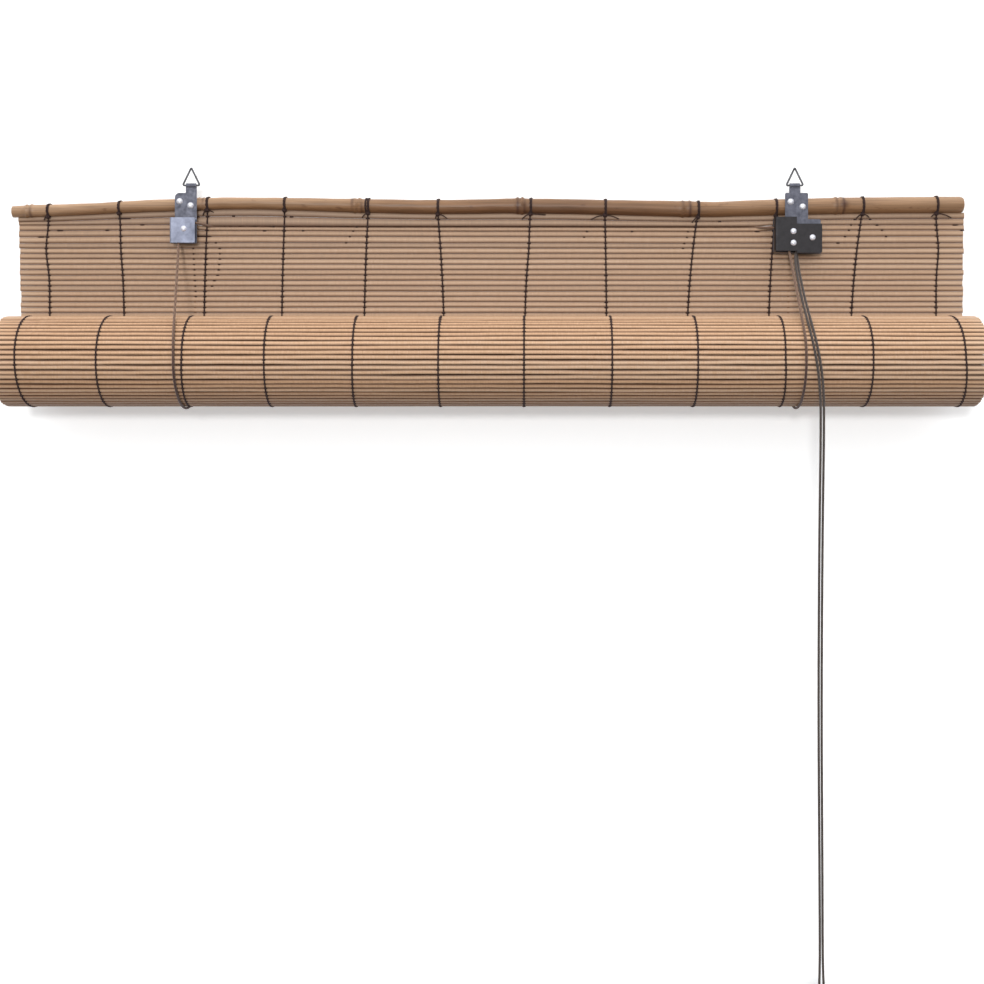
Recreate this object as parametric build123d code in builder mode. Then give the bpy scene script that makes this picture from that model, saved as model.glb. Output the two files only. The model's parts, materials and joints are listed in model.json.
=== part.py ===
from build123d import *

import os
from math import acos, atan2, cos, degrees, hypot, pi, radians, sin, sqrt, tan

# Bamboo roll-up blind, partly rolled up.
# X runs along the blind to the right, Y away from the viewer and Z up, in millimetres.
# The origin is the inner top of the left hanging eye, in the plane of the hanger straps.

os.makedirs("parts", exist_ok=True)

# Driving dimensions: the whole blind
eye_spacing = 511.5
mat_width = 800.0
left_overhang = 146.0
eye_to_cane = 28.6

# Driving dimensions: the cane that carries the mat
cane_radius = 6.0
cane_left_tip = 8.0
cane_right_tip = 4.0
node_half_width = 2.2
node_bulge = 0.5
cane_bore = 2.2
cane_bore_depth = 12.0
end_rounding = 3.0
# Each knot of the cane: distance along, rise of the axis and radius at the knot; the last two
# are measured from the right edge of the mat
left_knots = ((-139.0, -3.9, 5.3), (7.6, 1.7, 5.75), (140.0, -0.25, 5.9), (279.0, 1.0, 6.0))
right_knots = ((-234.0, -2.5, 6.2), (-104.0, 0.4, 6.4))
left_tip = (-4.2, 5.2)
right_tip = (1.3, 6.8)

# Driving dimensions: reeds, hanging and rolled
reed_thickness = 2.0
web_thickness = 0.8
reed_pitch = 4.58
even_reeds = 22
head_reed = 4.7
mat_top_drop = 1.4
wide_reeds = (7.1, 3.7, 4.8, 5.3)
gap_height = 0.5
mat_end_web = 3.0
mat_clearance = 0.3
pass_clearance = 0.5
roll_radius = 38.6
layer_pitch = 2.9
core_radius = 7.4
rolled_reed_pitch = 4.1
rolled_ridge = 0.6
batten_overhang = 2.0
batten_chamfer = 0.6

# Driving dimensions: binding strings
string_count = 12
string_margin = 22.0
string_width = 1.0
string_thickness = 0.8
string_flats = 15
string_slack = 0.06
# Hand-tied strings wander from their even places by this much
string_drift = (1.6, -3.4, -4.6, -7.0, -5.4, -5.6, -6.0, -4.7, -5.0, -4.1, -2.9, 1.6)

# Driving dimensions: hanging eyes and their straps
wire_radius = 0.8
wire_facets = 12
eye_half_width = 6.0
eye_half_angle = 20.2
eye_top_bend = 1.8
eye_corner_bend = 0.9
sheet = 1.0
hem_clearance = 0.1
hem_slit = 0.4
hem_slit_angle = -50.0
hem_width = 8.4
tab_width = 9.3
plate_top = -18.4
shoulder_radius = 4.0
left_plate_width = 18.5
right_plate_width = 19.4
right_plate_left = -8.2
corner_radius = 1.2

# Driving dimensions: nails, tacks and rivets
nail_radius = 0.8
nail_head_radius = 2.75
nail_head_height = 1.8
nail_length = 7.0
left_nails = ((-9.75, -25.5), (-0.6, -29.1))
right_nails = ((-3.5, -25.9), (6.6, -30.1))
tack_radius = 0.6
tack_head_radius = 1.9
tack_head_height = 0.9
tack_length = 4.5
rivet_head_radius = 2.5
rivet_head_height = 1.3
rivet_tail_radius = 2.0
rivet_tail_height = 0.8

# Driving dimensions: pulleys and their housings
cord_radius = 1.0
groove_clearance = 0.2
groove_mouth = 1.4
groove_foot = 0.75
flange_rise = 0.85
side_clearance = 0.2
running_clearance = 0.05
fold_radius = 1.5
left_pulley_width = 4.6
left_track = 5.2
left_axle_radius = 1.2
left_axle = (-4.6, -49.5)
left_housing_edges = (-16.4, 4.9)
left_housing_levels = (-61.3, -40.0)

# Driving dimensions: cord lock, measured from the right eye
lock_pulley_width = 3.4
lock_track = 3.65
lock_axle_radius = 1.1
lock_axle = (-3.1, -52.0)
anvil_place = (-3.1, -61.7)
anvil_radius = 2.6
anvil_pin_radius = 1.3
cam_pivot = (12.9, -57.2)
cam_pivot_radius = 1.3
lock_edges = (-18.4, 20.9)
lock_step = -0.3
lock_tops = (-39.8, -45.6)
lock_bottoms = (-68.4, -70.1)
lock_plate_top = -40.7
lock_plate_right = 21.9
cord_window = 1.7
cam_boss_radius = 3.2
cam_head_radius = 4.5
cam_head_gap = 0.3
cam_lightening = 2.9
cam_arm = 3.6
cam_tail_radius = 7.9
cam_tail_spread = 150.0
tooth_count = 9
tooth_spread = 80.0
tooth_size = 0.45

# Driving dimensions: anchor knots, coil and end knots
anchor_radius = 2.3
anchor_depth = 2.6
left_anchor = (-1.7, -26.8)
right_anchor = (508.7, -28.6)
coil_centre = (517.2, -70.6, -686.0)
coil_mean_radius = 17.5
coil_section_radius = 7.2
tie_length = 6.0
tie_thickness = 1.3
end_tail = 7.0
end_knot_radius = 2.6
end_knot_spacing = 7.0

# Levels and planes worked out from the driving dimensions
right_eye = eye_spacing
mat_left = -left_overhang
mat_right = mat_left + mat_width
mat_y = sheet / 2 + cane_radius
mat_front = mat_y - reed_thickness / 2
mat_back = mat_y + reed_thickness / 2
first_gap = -(eye_to_cane + cane_radius + head_reed)
roll_z = first_gap - sum(wide_reeds) - even_reeds * reed_pitch
roll_y = mat_back - roll_radius
# Half turns that are wound on before the roll is as small as its core
half_turns = int((roll_radius - layer_pitch / 4 - core_radius) / (layer_pitch / 2)) + 1
track_groove = cord_radius + groove_clearance
groove_slope = degrees(atan2(track_groove + flange_rise, groove_mouth - groove_foot))
flange_back = -sheet / 2 - sheet
left_inner_depth = left_pulley_width + 2 * side_clearance
lock_inner_depth = 2 * lock_pulley_width + 3 * side_clearance
left_front = flange_back - left_inner_depth - sheet
lock_front = flange_back - lock_inner_depth - sheet
half_angle = radians(eye_half_angle)
eye_peak = wire_radius + eye_top_bend * (1 / sin(half_angle) - 1)
eye_bar_z = eye_peak - eye_half_width / tan(half_angle)
hem_radius = wire_radius + hem_clearance + sheet


def save(part, name):
    """Label a finished piece and write it to its own file."""
    part.label = name
    export_step(part, f"parts/{name}.step")


def at_right(place):
    """Move a place that is measured from the right eye into the blind's frame."""
    return (place[0] + right_eye, place[1])


# The cane: stations from tip to tip, each with its place, axis height and radius
cane_stations = [(mat_left - cane_left_tip, *left_tip)]
cane_stations += left_knots
cane_stations += [(mat_right + x, rise, radius) for x, rise, radius in right_knots]
cane_stations += [(mat_right + cane_right_tip, *right_tip)]


def stretch_radius(near, far):
    """Radius of the cane between two stations."""
    return (near[2] + far[2]) / 2


def cane_at(x):
    """Axis height, plain radius and radius over the knot, where x lies near one."""
    for near, far in zip(cane_stations, cane_stations[1:]):
        if near[0] <= x <= far[0]:
            share = (x - near[0]) / (far[0] - near[0])
            height = near[1] + share * (far[1] - near[1]) - eye_to_cane
            radius = stretch_radius(near, far)
            for knot in cane_stations[1:-1]:
                if abs(x - knot[0]) < node_half_width + string_width:
                    return height, knot[2], knot[2] + node_bulge
            return height, radius, radius
    raise ValueError("x lies past the cane")


def cane_solid(grow=0.0):
    """The cane as grown, larger all round by grow: straight stretches and ringed knots."""
    with BuildPart() as cane:
        for near, far in zip(cane_stations, cane_stations[1:]):
            radius = stretch_radius(near, far)
            start = Vector(near[0], sheet / 2 + radius, near[1] - eye_to_cane)
            stop = Vector(far[0], sheet / 2 + radius, far[1] - eye_to_cane)
            with BuildSketch(Plane(origin=start, z_dir=stop - start)):
                Circle(radius + grow)
            extrude(amount=(stop - start).length)
        for x, rise, radius in cane_stations[1:-1]:
            centre = (x, sheet / 2 + radius, rise - eye_to_cane)
            with BuildSketch(Plane(origin=centre, x_dir=(1, 0, 0), z_dir=(0, -1, 0))):
                with BuildLine():
                    foot = radius + grow - node_bulge
                    Polyline((-node_half_width, foot), (-node_half_width, 0),
                             (node_half_width, 0), (node_half_width, foot))
                    ThreePointArc((-node_half_width, foot), (0, foot + 2 * node_bulge),
                                  (node_half_width, foot))
                make_face()
            revolve(axis=Axis(centre, (1, 0, 0)))
    return cane.part


# Head pole: the cane with a hollow left end, a rounded right end and its fastener holes
nail_places = list(left_nails) + [at_right(place) for place in right_nails]
anchor_places = [left_anchor, right_anchor]

with BuildPart() as head_pole:
    add(cane_solid())
    fillet(head_pole.faces().sort_by(Axis.X)[-1].edges(), radius=end_rounding)
    left_end = cane_stations[0]
    bore_place = (left_end[0], sheet / 2 + cane_at(left_end[0])[1], left_end[1] - eye_to_cane)
    with BuildSketch(Plane(origin=bore_place, x_dir=(0, 1, 0), z_dir=(1, 0, 0))):
        Circle(cane_bore)
    extrude(amount=cane_bore_depth, mode=Mode.SUBTRACT)
    with BuildSketch(Plane.XZ.offset(sheet / 2)):
        with Locations(*nail_places):
            Circle(nail_radius)
    extrude(amount=-nail_length - sheet, mode=Mode.SUBTRACT)
    for x, z in anchor_places:
        back = sheet / 2 + 2 * cane_at(x)[1]
        with BuildSketch(Plane.XZ.offset(-back)):
            with Locations((x, z)):
                Circle(tack_radius)
        extrude(amount=tack_length, both=True, mode=Mode.SUBTRACT)
save(head_pole.part, "head_pole")


# Hanging reeds: split reeds lying edge to edge, thick at the middle and thin where they meet
gap_lines = [first_gap]
for height in wide_reeds:
    gap_lines.append(gap_lines[-1] - height)
for _ in range(even_reeds):
    gap_lines.append(gap_lines[-1] - reed_pitch)
reed_edges = [-eye_to_cane - mat_top_drop] + gap_lines


def reed_side(side):
    """One ridged face of the mat, drawn upwards for the front and downwards for the back."""
    web = mat_y + side * web_thickness / 2
    crest = mat_y + side * reed_thickness / 2
    for top, bottom in zip(reed_edges, reed_edges[1:]):
        low = bottom + gap_height / 2
        high = top - gap_height / 2
        ThreePointArc((web, low), (crest, (low + high) / 2), (web, high))
        Line((web, high), (web, top))
        Line((web, bottom), (web, low))


string_step = (mat_width - 2 * string_margin) / (string_count - 1)
string_places = [mat_left + string_margin + i * string_step + string_drift[i]
                 for i in range(string_count)]

# The cross cord of the left lift passes through the mat beside each hanger
left_pass = (33.0, 54.0, -46.0)
right_pass = (right_eye - 67.5, right_eye - 46.5, -46.8)
pass_height = 2 * (cord_radius + pass_clearance)

with BuildPart() as hanging_reeds:
    with BuildSketch(Plane.YZ.offset(mat_left)):
        with BuildLine():
            reed_side(-1)
            reed_side(1)
            web_front = mat_y - web_thickness / 2
            web_back = mat_y + web_thickness / 2
            Line((web_front, reed_edges[0]), (web_back, reed_edges[0]))
            Line((web_front, reed_edges[-1]), (web_back, reed_edges[-1]))
        make_face()
    extrude(amount=mat_width)
    add(cane_solid(mat_clearance), mode=Mode.SUBTRACT)
    # Daylight between the reeds, held together behind three of the strings and at both ends
    stops = [mat_left + mat_end_web, string_places[3], string_places[6], string_places[9],
             mat_right - mat_end_web]
    with BuildSketch(Plane.XZ.offset(-mat_y)):
        for start, stop in zip(stops, stops[1:]):
            for level in gap_lines[:-1]:
                with Locations(((start + stop) / 2, level)):
                    Rectangle(stop - start - string_width, gap_height)
        for start, stop, level in (left_pass, right_pass):
            with Locations(((start + stop) / 2, level)):
                Rectangle(stop - start, pass_height)
    extrude(amount=reed_thickness, both=True, mode=Mode.SUBTRACT)
save(hanging_reeds.part, "hanging_reeds")


# Rolled reeds: the rest of the mat wound up, drawn as half turns about two centres
def turn_radius(i):
    """Outer radius of half turn i, counted inwards from the hanging mat."""
    return roll_radius - layer_pitch / 4 - i * layer_pitch / 2


def turn_centre(i):
    """Centre of half turn i: even ones are lower halves, odd ones upper halves."""
    return (roll_y + (layer_pitch / 4 if i % 2 == 0 else -layer_pitch / 4), roll_z)


def on_turn(i, radius, share):
    """Point at a share of the way round half turn i, at the given radius."""
    angle = -pi * (share + i % 2)
    y, z = turn_centre(i)
    return (y + radius * cos(angle), z + radius * sin(angle))


def half_ring(i, outer, inner):
    """Half a ring about the centre of half turn i, or half a disc where inner is 0."""
    with BuildSketch() as ring:
        with BuildLine():
            Line(on_turn(i, inner, 0), on_turn(i, outer, 0))
            ThreePointArc(*[on_turn(i, outer, share) for share in (0, 0.5, 1)])
            Line(on_turn(i, outer, 1), on_turn(i, inner, 1))
            if inner > 0:
                ThreePointArc(*[on_turn(i, inner, share) for share in (1, 0.5, 0)])
        make_face()
    return ring.sketch


with BuildPart() as rolled_reeds:
    with BuildSketch(Plane.YZ.offset(mat_left)):
        with BuildLine():
            for i in (0, 1):
                crest = turn_radius(i)
                valley = crest - rolled_ridge
                count = round(pi * crest / rolled_reed_pitch)
                for k in range(count):
                    ThreePointArc(on_turn(i, valley, k / count),
                                  on_turn(i, crest, (k + 0.5) / count),
                                  on_turn(i, valley, (k + 1) / count))
            valley = turn_radius(0) - rolled_ridge
            Line(on_turn(1, turn_radius(1) - rolled_ridge, 1), on_turn(0, valley, 0))
        make_face()
        # Air between one turn and the next, then the hollow at the core
        for i in range(half_turns):
            inside = turn_radius(i + 2) if i < half_turns - 2 else 0
            add(half_ring(i, turn_radius(i) - reed_thickness, inside), mode=Mode.SUBTRACT)
    extrude(amount=mat_width)
save(rolled_reeds.part, "rolled_reeds")

# Bottom batten: a round rod in the core of the roll, against its last half turn
batten_radius = turn_radius(half_turns - 1) - reed_thickness
with BuildPart() as bottom_batten:
    with BuildSketch(Plane.YZ.offset(mat_left - batten_overhang)):
        with Locations(turn_centre(half_turns - 1)):
            Circle(batten_radius)
    extrude(amount=mat_width + 2 * batten_overhang)
    chamfer(bottom_batten.edges().filter_by(GeomType.CIRCLE), length=batten_chamfer)
save(bottom_batten.part, "bottom_batten")


# Binding strings: each goes up the front, over the cane, down the back and round the roll
def string_route(x):
    """Middle line of a string, from the nip up the front and round to the nip again."""
    lift = string_thickness / 2
    axis_z, plain_radius, radius = cane_at(x)
    axis_y = sheet / 2 + plain_radius
    round_cane = radius + string_slack + lift
    step = radians(45)
    corner = round_cane / cos(step / 2)
    front = mat_front - lift
    back = mat_back + lift
    nip = on_turn(1, turn_radius(1) + lift, 1 - 1.5 / string_flats)[1]
    diagonal = round_cane * sqrt(2)
    points = [(front, nip), (front, axis_z - diagonal + (axis_y - front))]
    for k in range(6):
        angle = radians(202.5) - k * step
        points.append((axis_y + corner * cos(angle), axis_z + corner * sin(angle)))
    points.append((back, axis_z - diagonal + (back - axis_y)))
    flat = pi / string_flats
    for i, count in ((0, string_flats), (1, string_flats - 1)):
        reach = (turn_radius(i) + lift) / cos(flat / 2)
        points += [on_turn(i, reach, (k + 0.5) / string_flats) for k in range(count)]
    return points


for number, x in enumerate(string_places, start=1):
    with BuildPart() as binding_string:
        with BuildSketch(Plane.YZ.offset(x - string_width / 2)):
            with BuildLine():
                Polyline(*string_route(x))
            trace(line_width=string_thickness)
        extrude(amount=string_width)
    save(binding_string.part, f"binding_string_{number:02d}")


# Hanging eyes: a wire triangle whose lower bar turns in the hem of its strap
def hanging_eye(x):
    """A bent wire eye, its inner top at the height of the origin."""
    with BuildPart() as eye:
        with BuildLine(Plane.XZ):
            FilletPolyline((x, eye_peak), (x - eye_half_width, eye_bar_z),
                           (x + eye_half_width, eye_bar_z), close=True,
                           radius=(eye_top_bend, eye_corner_bend, eye_corner_bend))
        with BuildSketch(Plane.YZ.offset(x)):
            with Locations((0, eye_bar_z)):
                RegularPolygon(wire_radius, wire_facets)
        sweep()
    return eye.part


save(hanging_eye(0.0), "left_ring")
save(hanging_eye(right_eye), "right_ring")


def hem(x):
    """The top of a strap, rolled round the bar of its eye, with the slit left by rolling."""
    with BuildPart() as tube:
        with BuildSketch(Plane.YZ.offset(x - hem_width / 2)):
            with Locations((0, eye_bar_z)):
                Circle(hem_radius)
                Circle(wire_radius + hem_clearance, mode=Mode.SUBTRACT)
                with PolarLocations(wire_radius, 1, start_angle=hem_slit_angle):
                    Rectangle(2 * sheet, hem_slit, align=(Align.MIN, Align.CENTER),
                              mode=Mode.SUBTRACT)
        extrude(amount=hem_width)
    return tube.part


def strap_holes(places, radius):
    """Holes through the sheet of a strap, in the sketch that is open."""
    with Locations(*places):
        Circle(radius, mode=Mode.SUBTRACT)


def corner(places):
    """The corners of the open sketch that lie at the given places."""
    return ShapeList(v for v in vertices()
                     if any(hypot(v.X - x, v.Y - y) < 0.1 for x, y in places))


# Left strap: a flat plate on the cane whose lower end is the back of the pulley housing
left_plate_edge = tab_width / 2 - left_plate_width
tab_top = eye_bar_z - hem_radius + sheet * 0.7
left_bottom, left_top = left_housing_levels

with BuildPart() as left_hanger_strap:
    add(hem(0.0))
    with BuildSketch(Plane.XZ.offset(-sheet / 2)):
        with BuildLine():
            Polyline((-tab_width / 2, tab_top), (-tab_width / 2, plate_top),
                     (left_plate_edge, plate_top), (left_plate_edge, left_bottom),
                     (tab_width / 2, left_bottom), (tab_width / 2, tab_top), close=True)
        make_face()
        fillet(corner([(left_plate_edge, plate_top)]), radius=shoulder_radius)
        fillet(corner([(left_plate_edge, left_bottom), (tab_width / 2, left_bottom)]),
               radius=corner_radius)
        strap_holes(left_nails, nail_radius)
        strap_holes([left_axle], left_axle_radius)
    extrude(amount=sheet)
save(left_hanger_strap.part, "left_hanger_strap")

# Right strap: the same plate, widened below the cane into the back of the cord lock
right_plate_start = right_eye + right_plate_left
right_plate_edge = right_plate_start + right_plate_width
lock_left = right_eye + lock_edges[0]
lock_right = right_eye + lock_edges[1]
lock_back_right = right_eye + lock_plate_right
lock_low = lock_bottoms[1]

with BuildPart() as right_hanger_strap:
    add(hem(right_eye))
    with BuildSketch(Plane.XZ.offset(-sheet / 2)):
        with BuildLine():
            Polyline((right_eye - tab_width / 2, tab_top), (right_eye - tab_width / 2, plate_top),
                     (right_plate_start, plate_top), (right_plate_start, lock_plate_top),
                     (lock_left, lock_plate_top), (lock_left, lock_bottoms[0]),
                     (lock_back_right, lock_low), (lock_back_right, lock_plate_top),
                     (right_plate_edge, lock_plate_top), (right_plate_edge, plate_top),
                     (right_eye + tab_width / 2, plate_top), (right_eye + tab_width / 2, tab_top),
                     close=True)
        make_face()
        fillet(corner([(right_plate_start, plate_top), (right_plate_edge, plate_top),
                       (lock_back_right, lock_plate_top), (lock_back_right, lock_low)]),
               radius=corner_radius)
        strap_holes([at_right(place) for place in right_nails], nail_radius)
        strap_holes([at_right(lock_axle)], lock_axle_radius)
        strap_holes([at_right(anvil_place)], anvil_pin_radius)
        strap_holes([at_right(cam_pivot)], cam_pivot_radius)
    extrude(amount=sheet)
save(right_hanger_strap.part, "right_hanger_strap")


# Fasteners
def dome(radius, height, face, places, way):
    """Domed heads standing on the plane Y = face; way is -1 towards the viewer, 1 away."""
    ball = (radius**2 + height**2) / (2 * height)
    half = acos((ball - height) / ball) / 2
    middle = (ball * sin(half), way * (ball * cos(half) - ball + height))
    with BuildPart() as heads:
        for x, z in places:
            with BuildSketch(Plane((x, face, z), x_dir=(1, 0, 0), z_dir=(0, 0, 1))):
                with BuildLine():
                    Line((0, 0), (radius, 0))
                    ThreePointArc((radius, 0), middle, (0, way * height))
                    Line((0, way * height), (0, 0))
                make_face()
            revolve(axis=Axis((x, face, z), (0, 1, 0)))
    return heads.part


def shank(radius, face, length, places):
    """Round shanks running away from the viewer from the plane Y = face."""
    with BuildPart() as shanks:
        with BuildSketch(Plane.XZ.offset(-face)):
            with Locations(*places):
                Circle(radius)
        extrude(amount=-length)
    return shanks.part


# Strap nails: two bright nails through each strap into the cane
with BuildPart() as strap_nails:
    add(dome(nail_head_radius, nail_head_height, -sheet / 2, nail_places, -1))
    add(shank(nail_radius, -sheet / 2, nail_length + sheet, nail_places))
save(strap_nails.part, "strap_nails")


def rivet(place, radius, front):
    """A rivet from the front of a housing to a flat tail behind the strap."""
    length = sheet / 2 - front
    with BuildPart() as piece:
        add(dome(rivet_head_radius, rivet_head_height, front, [place], -1))
        add(shank(radius, front, length + rivet_tail_height, [place]))
        add(shank(rivet_tail_radius, sheet / 2, rivet_tail_height, [place]))
    return piece.part


save(rivet(left_axle, left_axle_radius, left_front), "left_pulley_axle")
save(rivet(at_right(lock_axle), lock_axle_radius, lock_front), "lock_pulley_axle")
save(rivet(at_right(cam_pivot), cam_pivot_radius, lock_front), "cam_pivot_rivet")

with BuildPart() as anvil_rivet:
    add(rivet(at_right(anvil_place), anvil_pin_radius, lock_front))
    add(shank(anvil_radius, lock_front + sheet, lock_inner_depth, [at_right(anvil_place)]))
save(anvil_rivet.part, "anvil_rivet")


# Housings: a sheet folded round one side, its back flange against the strap
def channel(left, right, bottom, top, front):
    """A folded channel, open at the top, bottom and right."""
    width = right - left
    depth = -sheet / 2 - front
    with BuildPart() as folded:
        for inset, bend, mode in ((0, fold_radius, Mode.ADD),
                                  (sheet, fold_radius - sheet, Mode.SUBTRACT)):
            with BuildSketch(Plane.XY.offset(bottom)):
                with Locations((left + inset, front + inset)):
                    Rectangle(width, depth - 2 * inset, align=(Align.MIN, Align.MIN))
                fillet(vertices().group_by(Axis.X)[0], radius=bend)
            extrude(amount=top - bottom, mode=mode)
    return folded.part


def through_sheets(front):
    """Cut the open sketch, drawn on the front plane, through both cheeks of a housing."""
    extrude(amount=-(-sheet / 2 - front), mode=Mode.SUBTRACT)


with BuildPart() as left_pulley_housing:
    add(channel(*left_housing_edges, left_bottom, left_top, left_front))
    fillet(left_pulley_housing.edges().filter_by(Axis.Y).group_by(Axis.X)[-1],
           radius=corner_radius)
    with BuildSketch(Plane.XZ.offset(-left_front)):
        with Locations(left_axle):
            Circle(left_axle_radius)
    through_sheets(left_front)
save(left_pulley_housing.part, "left_pulley_housing")

with BuildPart() as cord_lock_housing:
    add(channel(lock_left, lock_right, lock_low, lock_tops[0], lock_front))
    step = right_eye + lock_step
    with BuildSketch(Plane.XZ.offset(-lock_front)):
        with BuildLine():
            Polyline((step, lock_tops[0] + 1), (step, lock_tops[1]), (lock_right + 1, lock_tops[1]),
                     (lock_right + 1, lock_tops[0] + 1), close=True)
        make_face()
        with BuildLine():
            Polyline((lock_left - 1, lock_bottoms[0]), (step, lock_bottoms[0]), (step, lock_low - 1),
                     (lock_left - 1, lock_low - 1), close=True)
        make_face()
        with Locations(at_right(lock_axle)):
            Circle(lock_axle_radius)
        with Locations(at_right(anvil_place)):
            Circle(anvil_pin_radius)
        with Locations(at_right(cam_pivot)):
            Circle(cam_pivot_radius)
    through_sheets(lock_front)
    fillet(cord_lock_housing.edges().filter_by(Axis.Y).group_by(Axis.X)[-1],
           radius=corner_radius)
    back_pulley_y = flange_back - side_clearance - lock_pulley_width / 2
    front_pulley_y = back_pulley_y - lock_pulley_width - side_clearance
    with BuildSketch(Plane.YZ.offset(lock_left - 1)):
        with Locations((back_pulley_y, lock_axle[1] + lock_track)):
            Circle(cord_window)
    extrude(amount=sheet + 1.5, mode=Mode.SUBTRACT)
save(cord_lock_housing.part, "cord_lock_housing")


# Pulleys: grooved wheels that turn freely on their rivets
def pulley(place, y, track, width, axle_radius):
    """A wheel whose groove carries the middle of a cord at the track radius."""
    x, z = place
    bore = axle_radius + running_clearance
    rim = track + flange_rise
    with BuildPart() as wheel:
        with BuildSketch(Plane.XY.offset(z)):
            with Locations((x + bore, y)):
                Rectangle(rim - bore, width, align=(Align.MIN, Align.CENTER))
            with Locations((x + track - track_groove, y)):
                Trapezoid(2 * groove_mouth, track_groove + flange_rise, groove_slope, rotation=90,
                          align=(Align.CENTER, Align.MAX), mode=Mode.SUBTRACT)
        revolve(axis=Axis((x, 0, z), (0, 1, 0)))
    return wheel.part


left_pulley_y = flange_back - side_clearance - left_pulley_width / 2
save(pulley(left_axle, left_pulley_y, left_track, left_pulley_width, left_axle_radius), "left_pulley")
for name, y in (("back_lock_pulley", back_pulley_y), ("front_lock_pulley", front_pulley_y)):
    save(pulley(at_right(lock_axle), y, lock_track, lock_pulley_width, lock_axle_radius), name)


# Lock cam: a toothed head that the pulled cord drags up against the anvil
pivot = at_right(cam_pivot)
cord_line = right_eye + lock_axle[0] + lock_track
head = (cord_line + cord_radius + cam_head_gap + cam_head_radius, anvil_place[1])
arm_length = hypot(head[0] - pivot[0], head[1] - pivot[1])
arm_angle = degrees(acos((head[0] - pivot[0]) / arm_length))

with BuildPart() as lock_cam:
    with BuildSketch(Plane.XZ.offset(-flange_back + side_clearance)):
        with Locations(pivot):
            Circle(cam_boss_radius)
        with Locations(((head[0] + pivot[0]) / 2, (head[1] + pivot[1]) / 2)):
            Rectangle(arm_length, cam_arm, rotation=-arm_angle)
        with Locations(head):
            Circle(cam_head_radius)
        with BuildLine():
            tail = CenterArc(pivot, cam_tail_radius, -cam_tail_spread / 2, cam_tail_spread)
            Line(tail @ 1, pivot)
            Line(pivot, tail @ 0)
        make_face()
        with Locations(head):
            Circle(cam_lightening, mode=Mode.SUBTRACT)
            with PolarLocations(cam_head_radius, tooth_count, 180 - tooth_spread / 2, tooth_spread,
                                endpoint=True):
                RegularPolygon(tooth_size, 3, rotation=180, mode=Mode.SUBTRACT)
        with Locations(pivot):
            Circle(cam_pivot_radius + running_clearance, mode=Mode.SUBTRACT)
    extrude(amount=lock_inner_depth - 2 * side_clearance)
save(lock_cam.part, "lock_cam")


# Anchors: each lift cord ends in a knot that a tack holds on the back of the cane
for name, (x, z) in zip(("left", "right"), anchor_places):
    back = sheet / 2 + 2 * cane_at(x)[1]
    with BuildPart() as anchor_knot:
        with BuildSketch(Plane((x, back, z), x_dir=(1, 0, 0), z_dir=(0, 0, 1))):
            with BuildLine():
                narrow = anchor_radius * 0.8
                Polyline((tack_radius, anchor_depth), (tack_radius, 0), (narrow, 0),
                         (anchor_radius, anchor_depth / 3), (anchor_radius, anchor_depth * 2 / 3),
                         (narrow, anchor_depth), close=True)
            make_face()
        revolve(axis=Axis((x, back, z), (0, 1, 0)))
    save(anchor_knot.part, f"{name}_anchor_knot")

with BuildPart() as anchor_tacks:
    for x, z in anchor_places:
        seat = sheet / 2 + 2 * cane_at(x)[1] + anchor_depth
        shank_start = seat - anchor_depth - tack_length
        add(dome(tack_head_radius, tack_head_height, seat, [(x, z)], 1))
        add(shank(tack_radius, shank_start, anchor_depth + tack_length, [(x, z)]))
save(anchor_tacks.part, "anchor_tacks")


# Cords
roll_bend = 37.0
widest_bend = 300.0


def turn_at(before, point, after):
    """Half of the angle by which a route turns at a point."""
    return (Vector(point) - Vector(before)).get_angle(Vector(after) - Vector(point)) / 2


def free_radii(route, tight):
    """Corner radii of a route: as large as the runs allow, or the radius of what it goes round."""
    radii = []
    for i in range(1, len(route) - 1):
        runs = [(Vector(route[i + k]) - Vector(route[i])).length for k in (-1, 1)]
        turn = radians(turn_at(route[i - 1], route[i], route[i + 1]))
        radii.append(tight.get(i, min(widest_bend, 0.45 * min(runs) / tan(turn))))
    return radii


def cord(name, route, tight):
    """A cord of eight sides along its route, with its length and corner radii printed."""
    radii = free_radii(route, tight)
    with BuildPart() as tube:
        with BuildLine() as line:
            FilletPolyline(*route, radius=radii)
        start = Vector(route[1]) - Vector(route[0])
        with BuildSketch(Plane(origin=route[0], z_dir=start)) as section:
            RegularPolygon(cord_radius, 8)
        sweep()
    length = sum(edge.length for edge in line.edges())
    print(name, "length", round(length, 1), "radii", [round(r, 1) for r in radii])
    print("  volume over section times length:",
          round(tube.part.volume / (section.sketch.area * length), 4))
    save(tube.part, name)


# Right lift cord: from its anchor down behind the mat, under the roll, up and over the front
# pulley of the lock
right_lift_route = [
    (508.7, 15.0, -30.5), (508.6, 14.8, -36.0), (508.5, 8.9, -48.0), (508.0, 8.8, -112.0),
    (506.5, 8.8, -177.2), (505.8, -14.2, -200.2), (505.5, -46.6, -200.2), (505.5, -69.6, -177.2),
    (505.6, -69.5, -148.0), (505.7, -7.2, -71.0), (504.75, -7.0, -65.5), (504.75, -7.0, -48.35),
    (512.05, -7.0, -48.35), (512.05, -7.0, -66.0)]
cord("right_lift_cord", right_lift_route,
     {4: roll_bend, 5: roll_bend, 6: roll_bend, 7: roll_bend, 8: 34.0, 11: 3.6, 12: 3.6})

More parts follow.
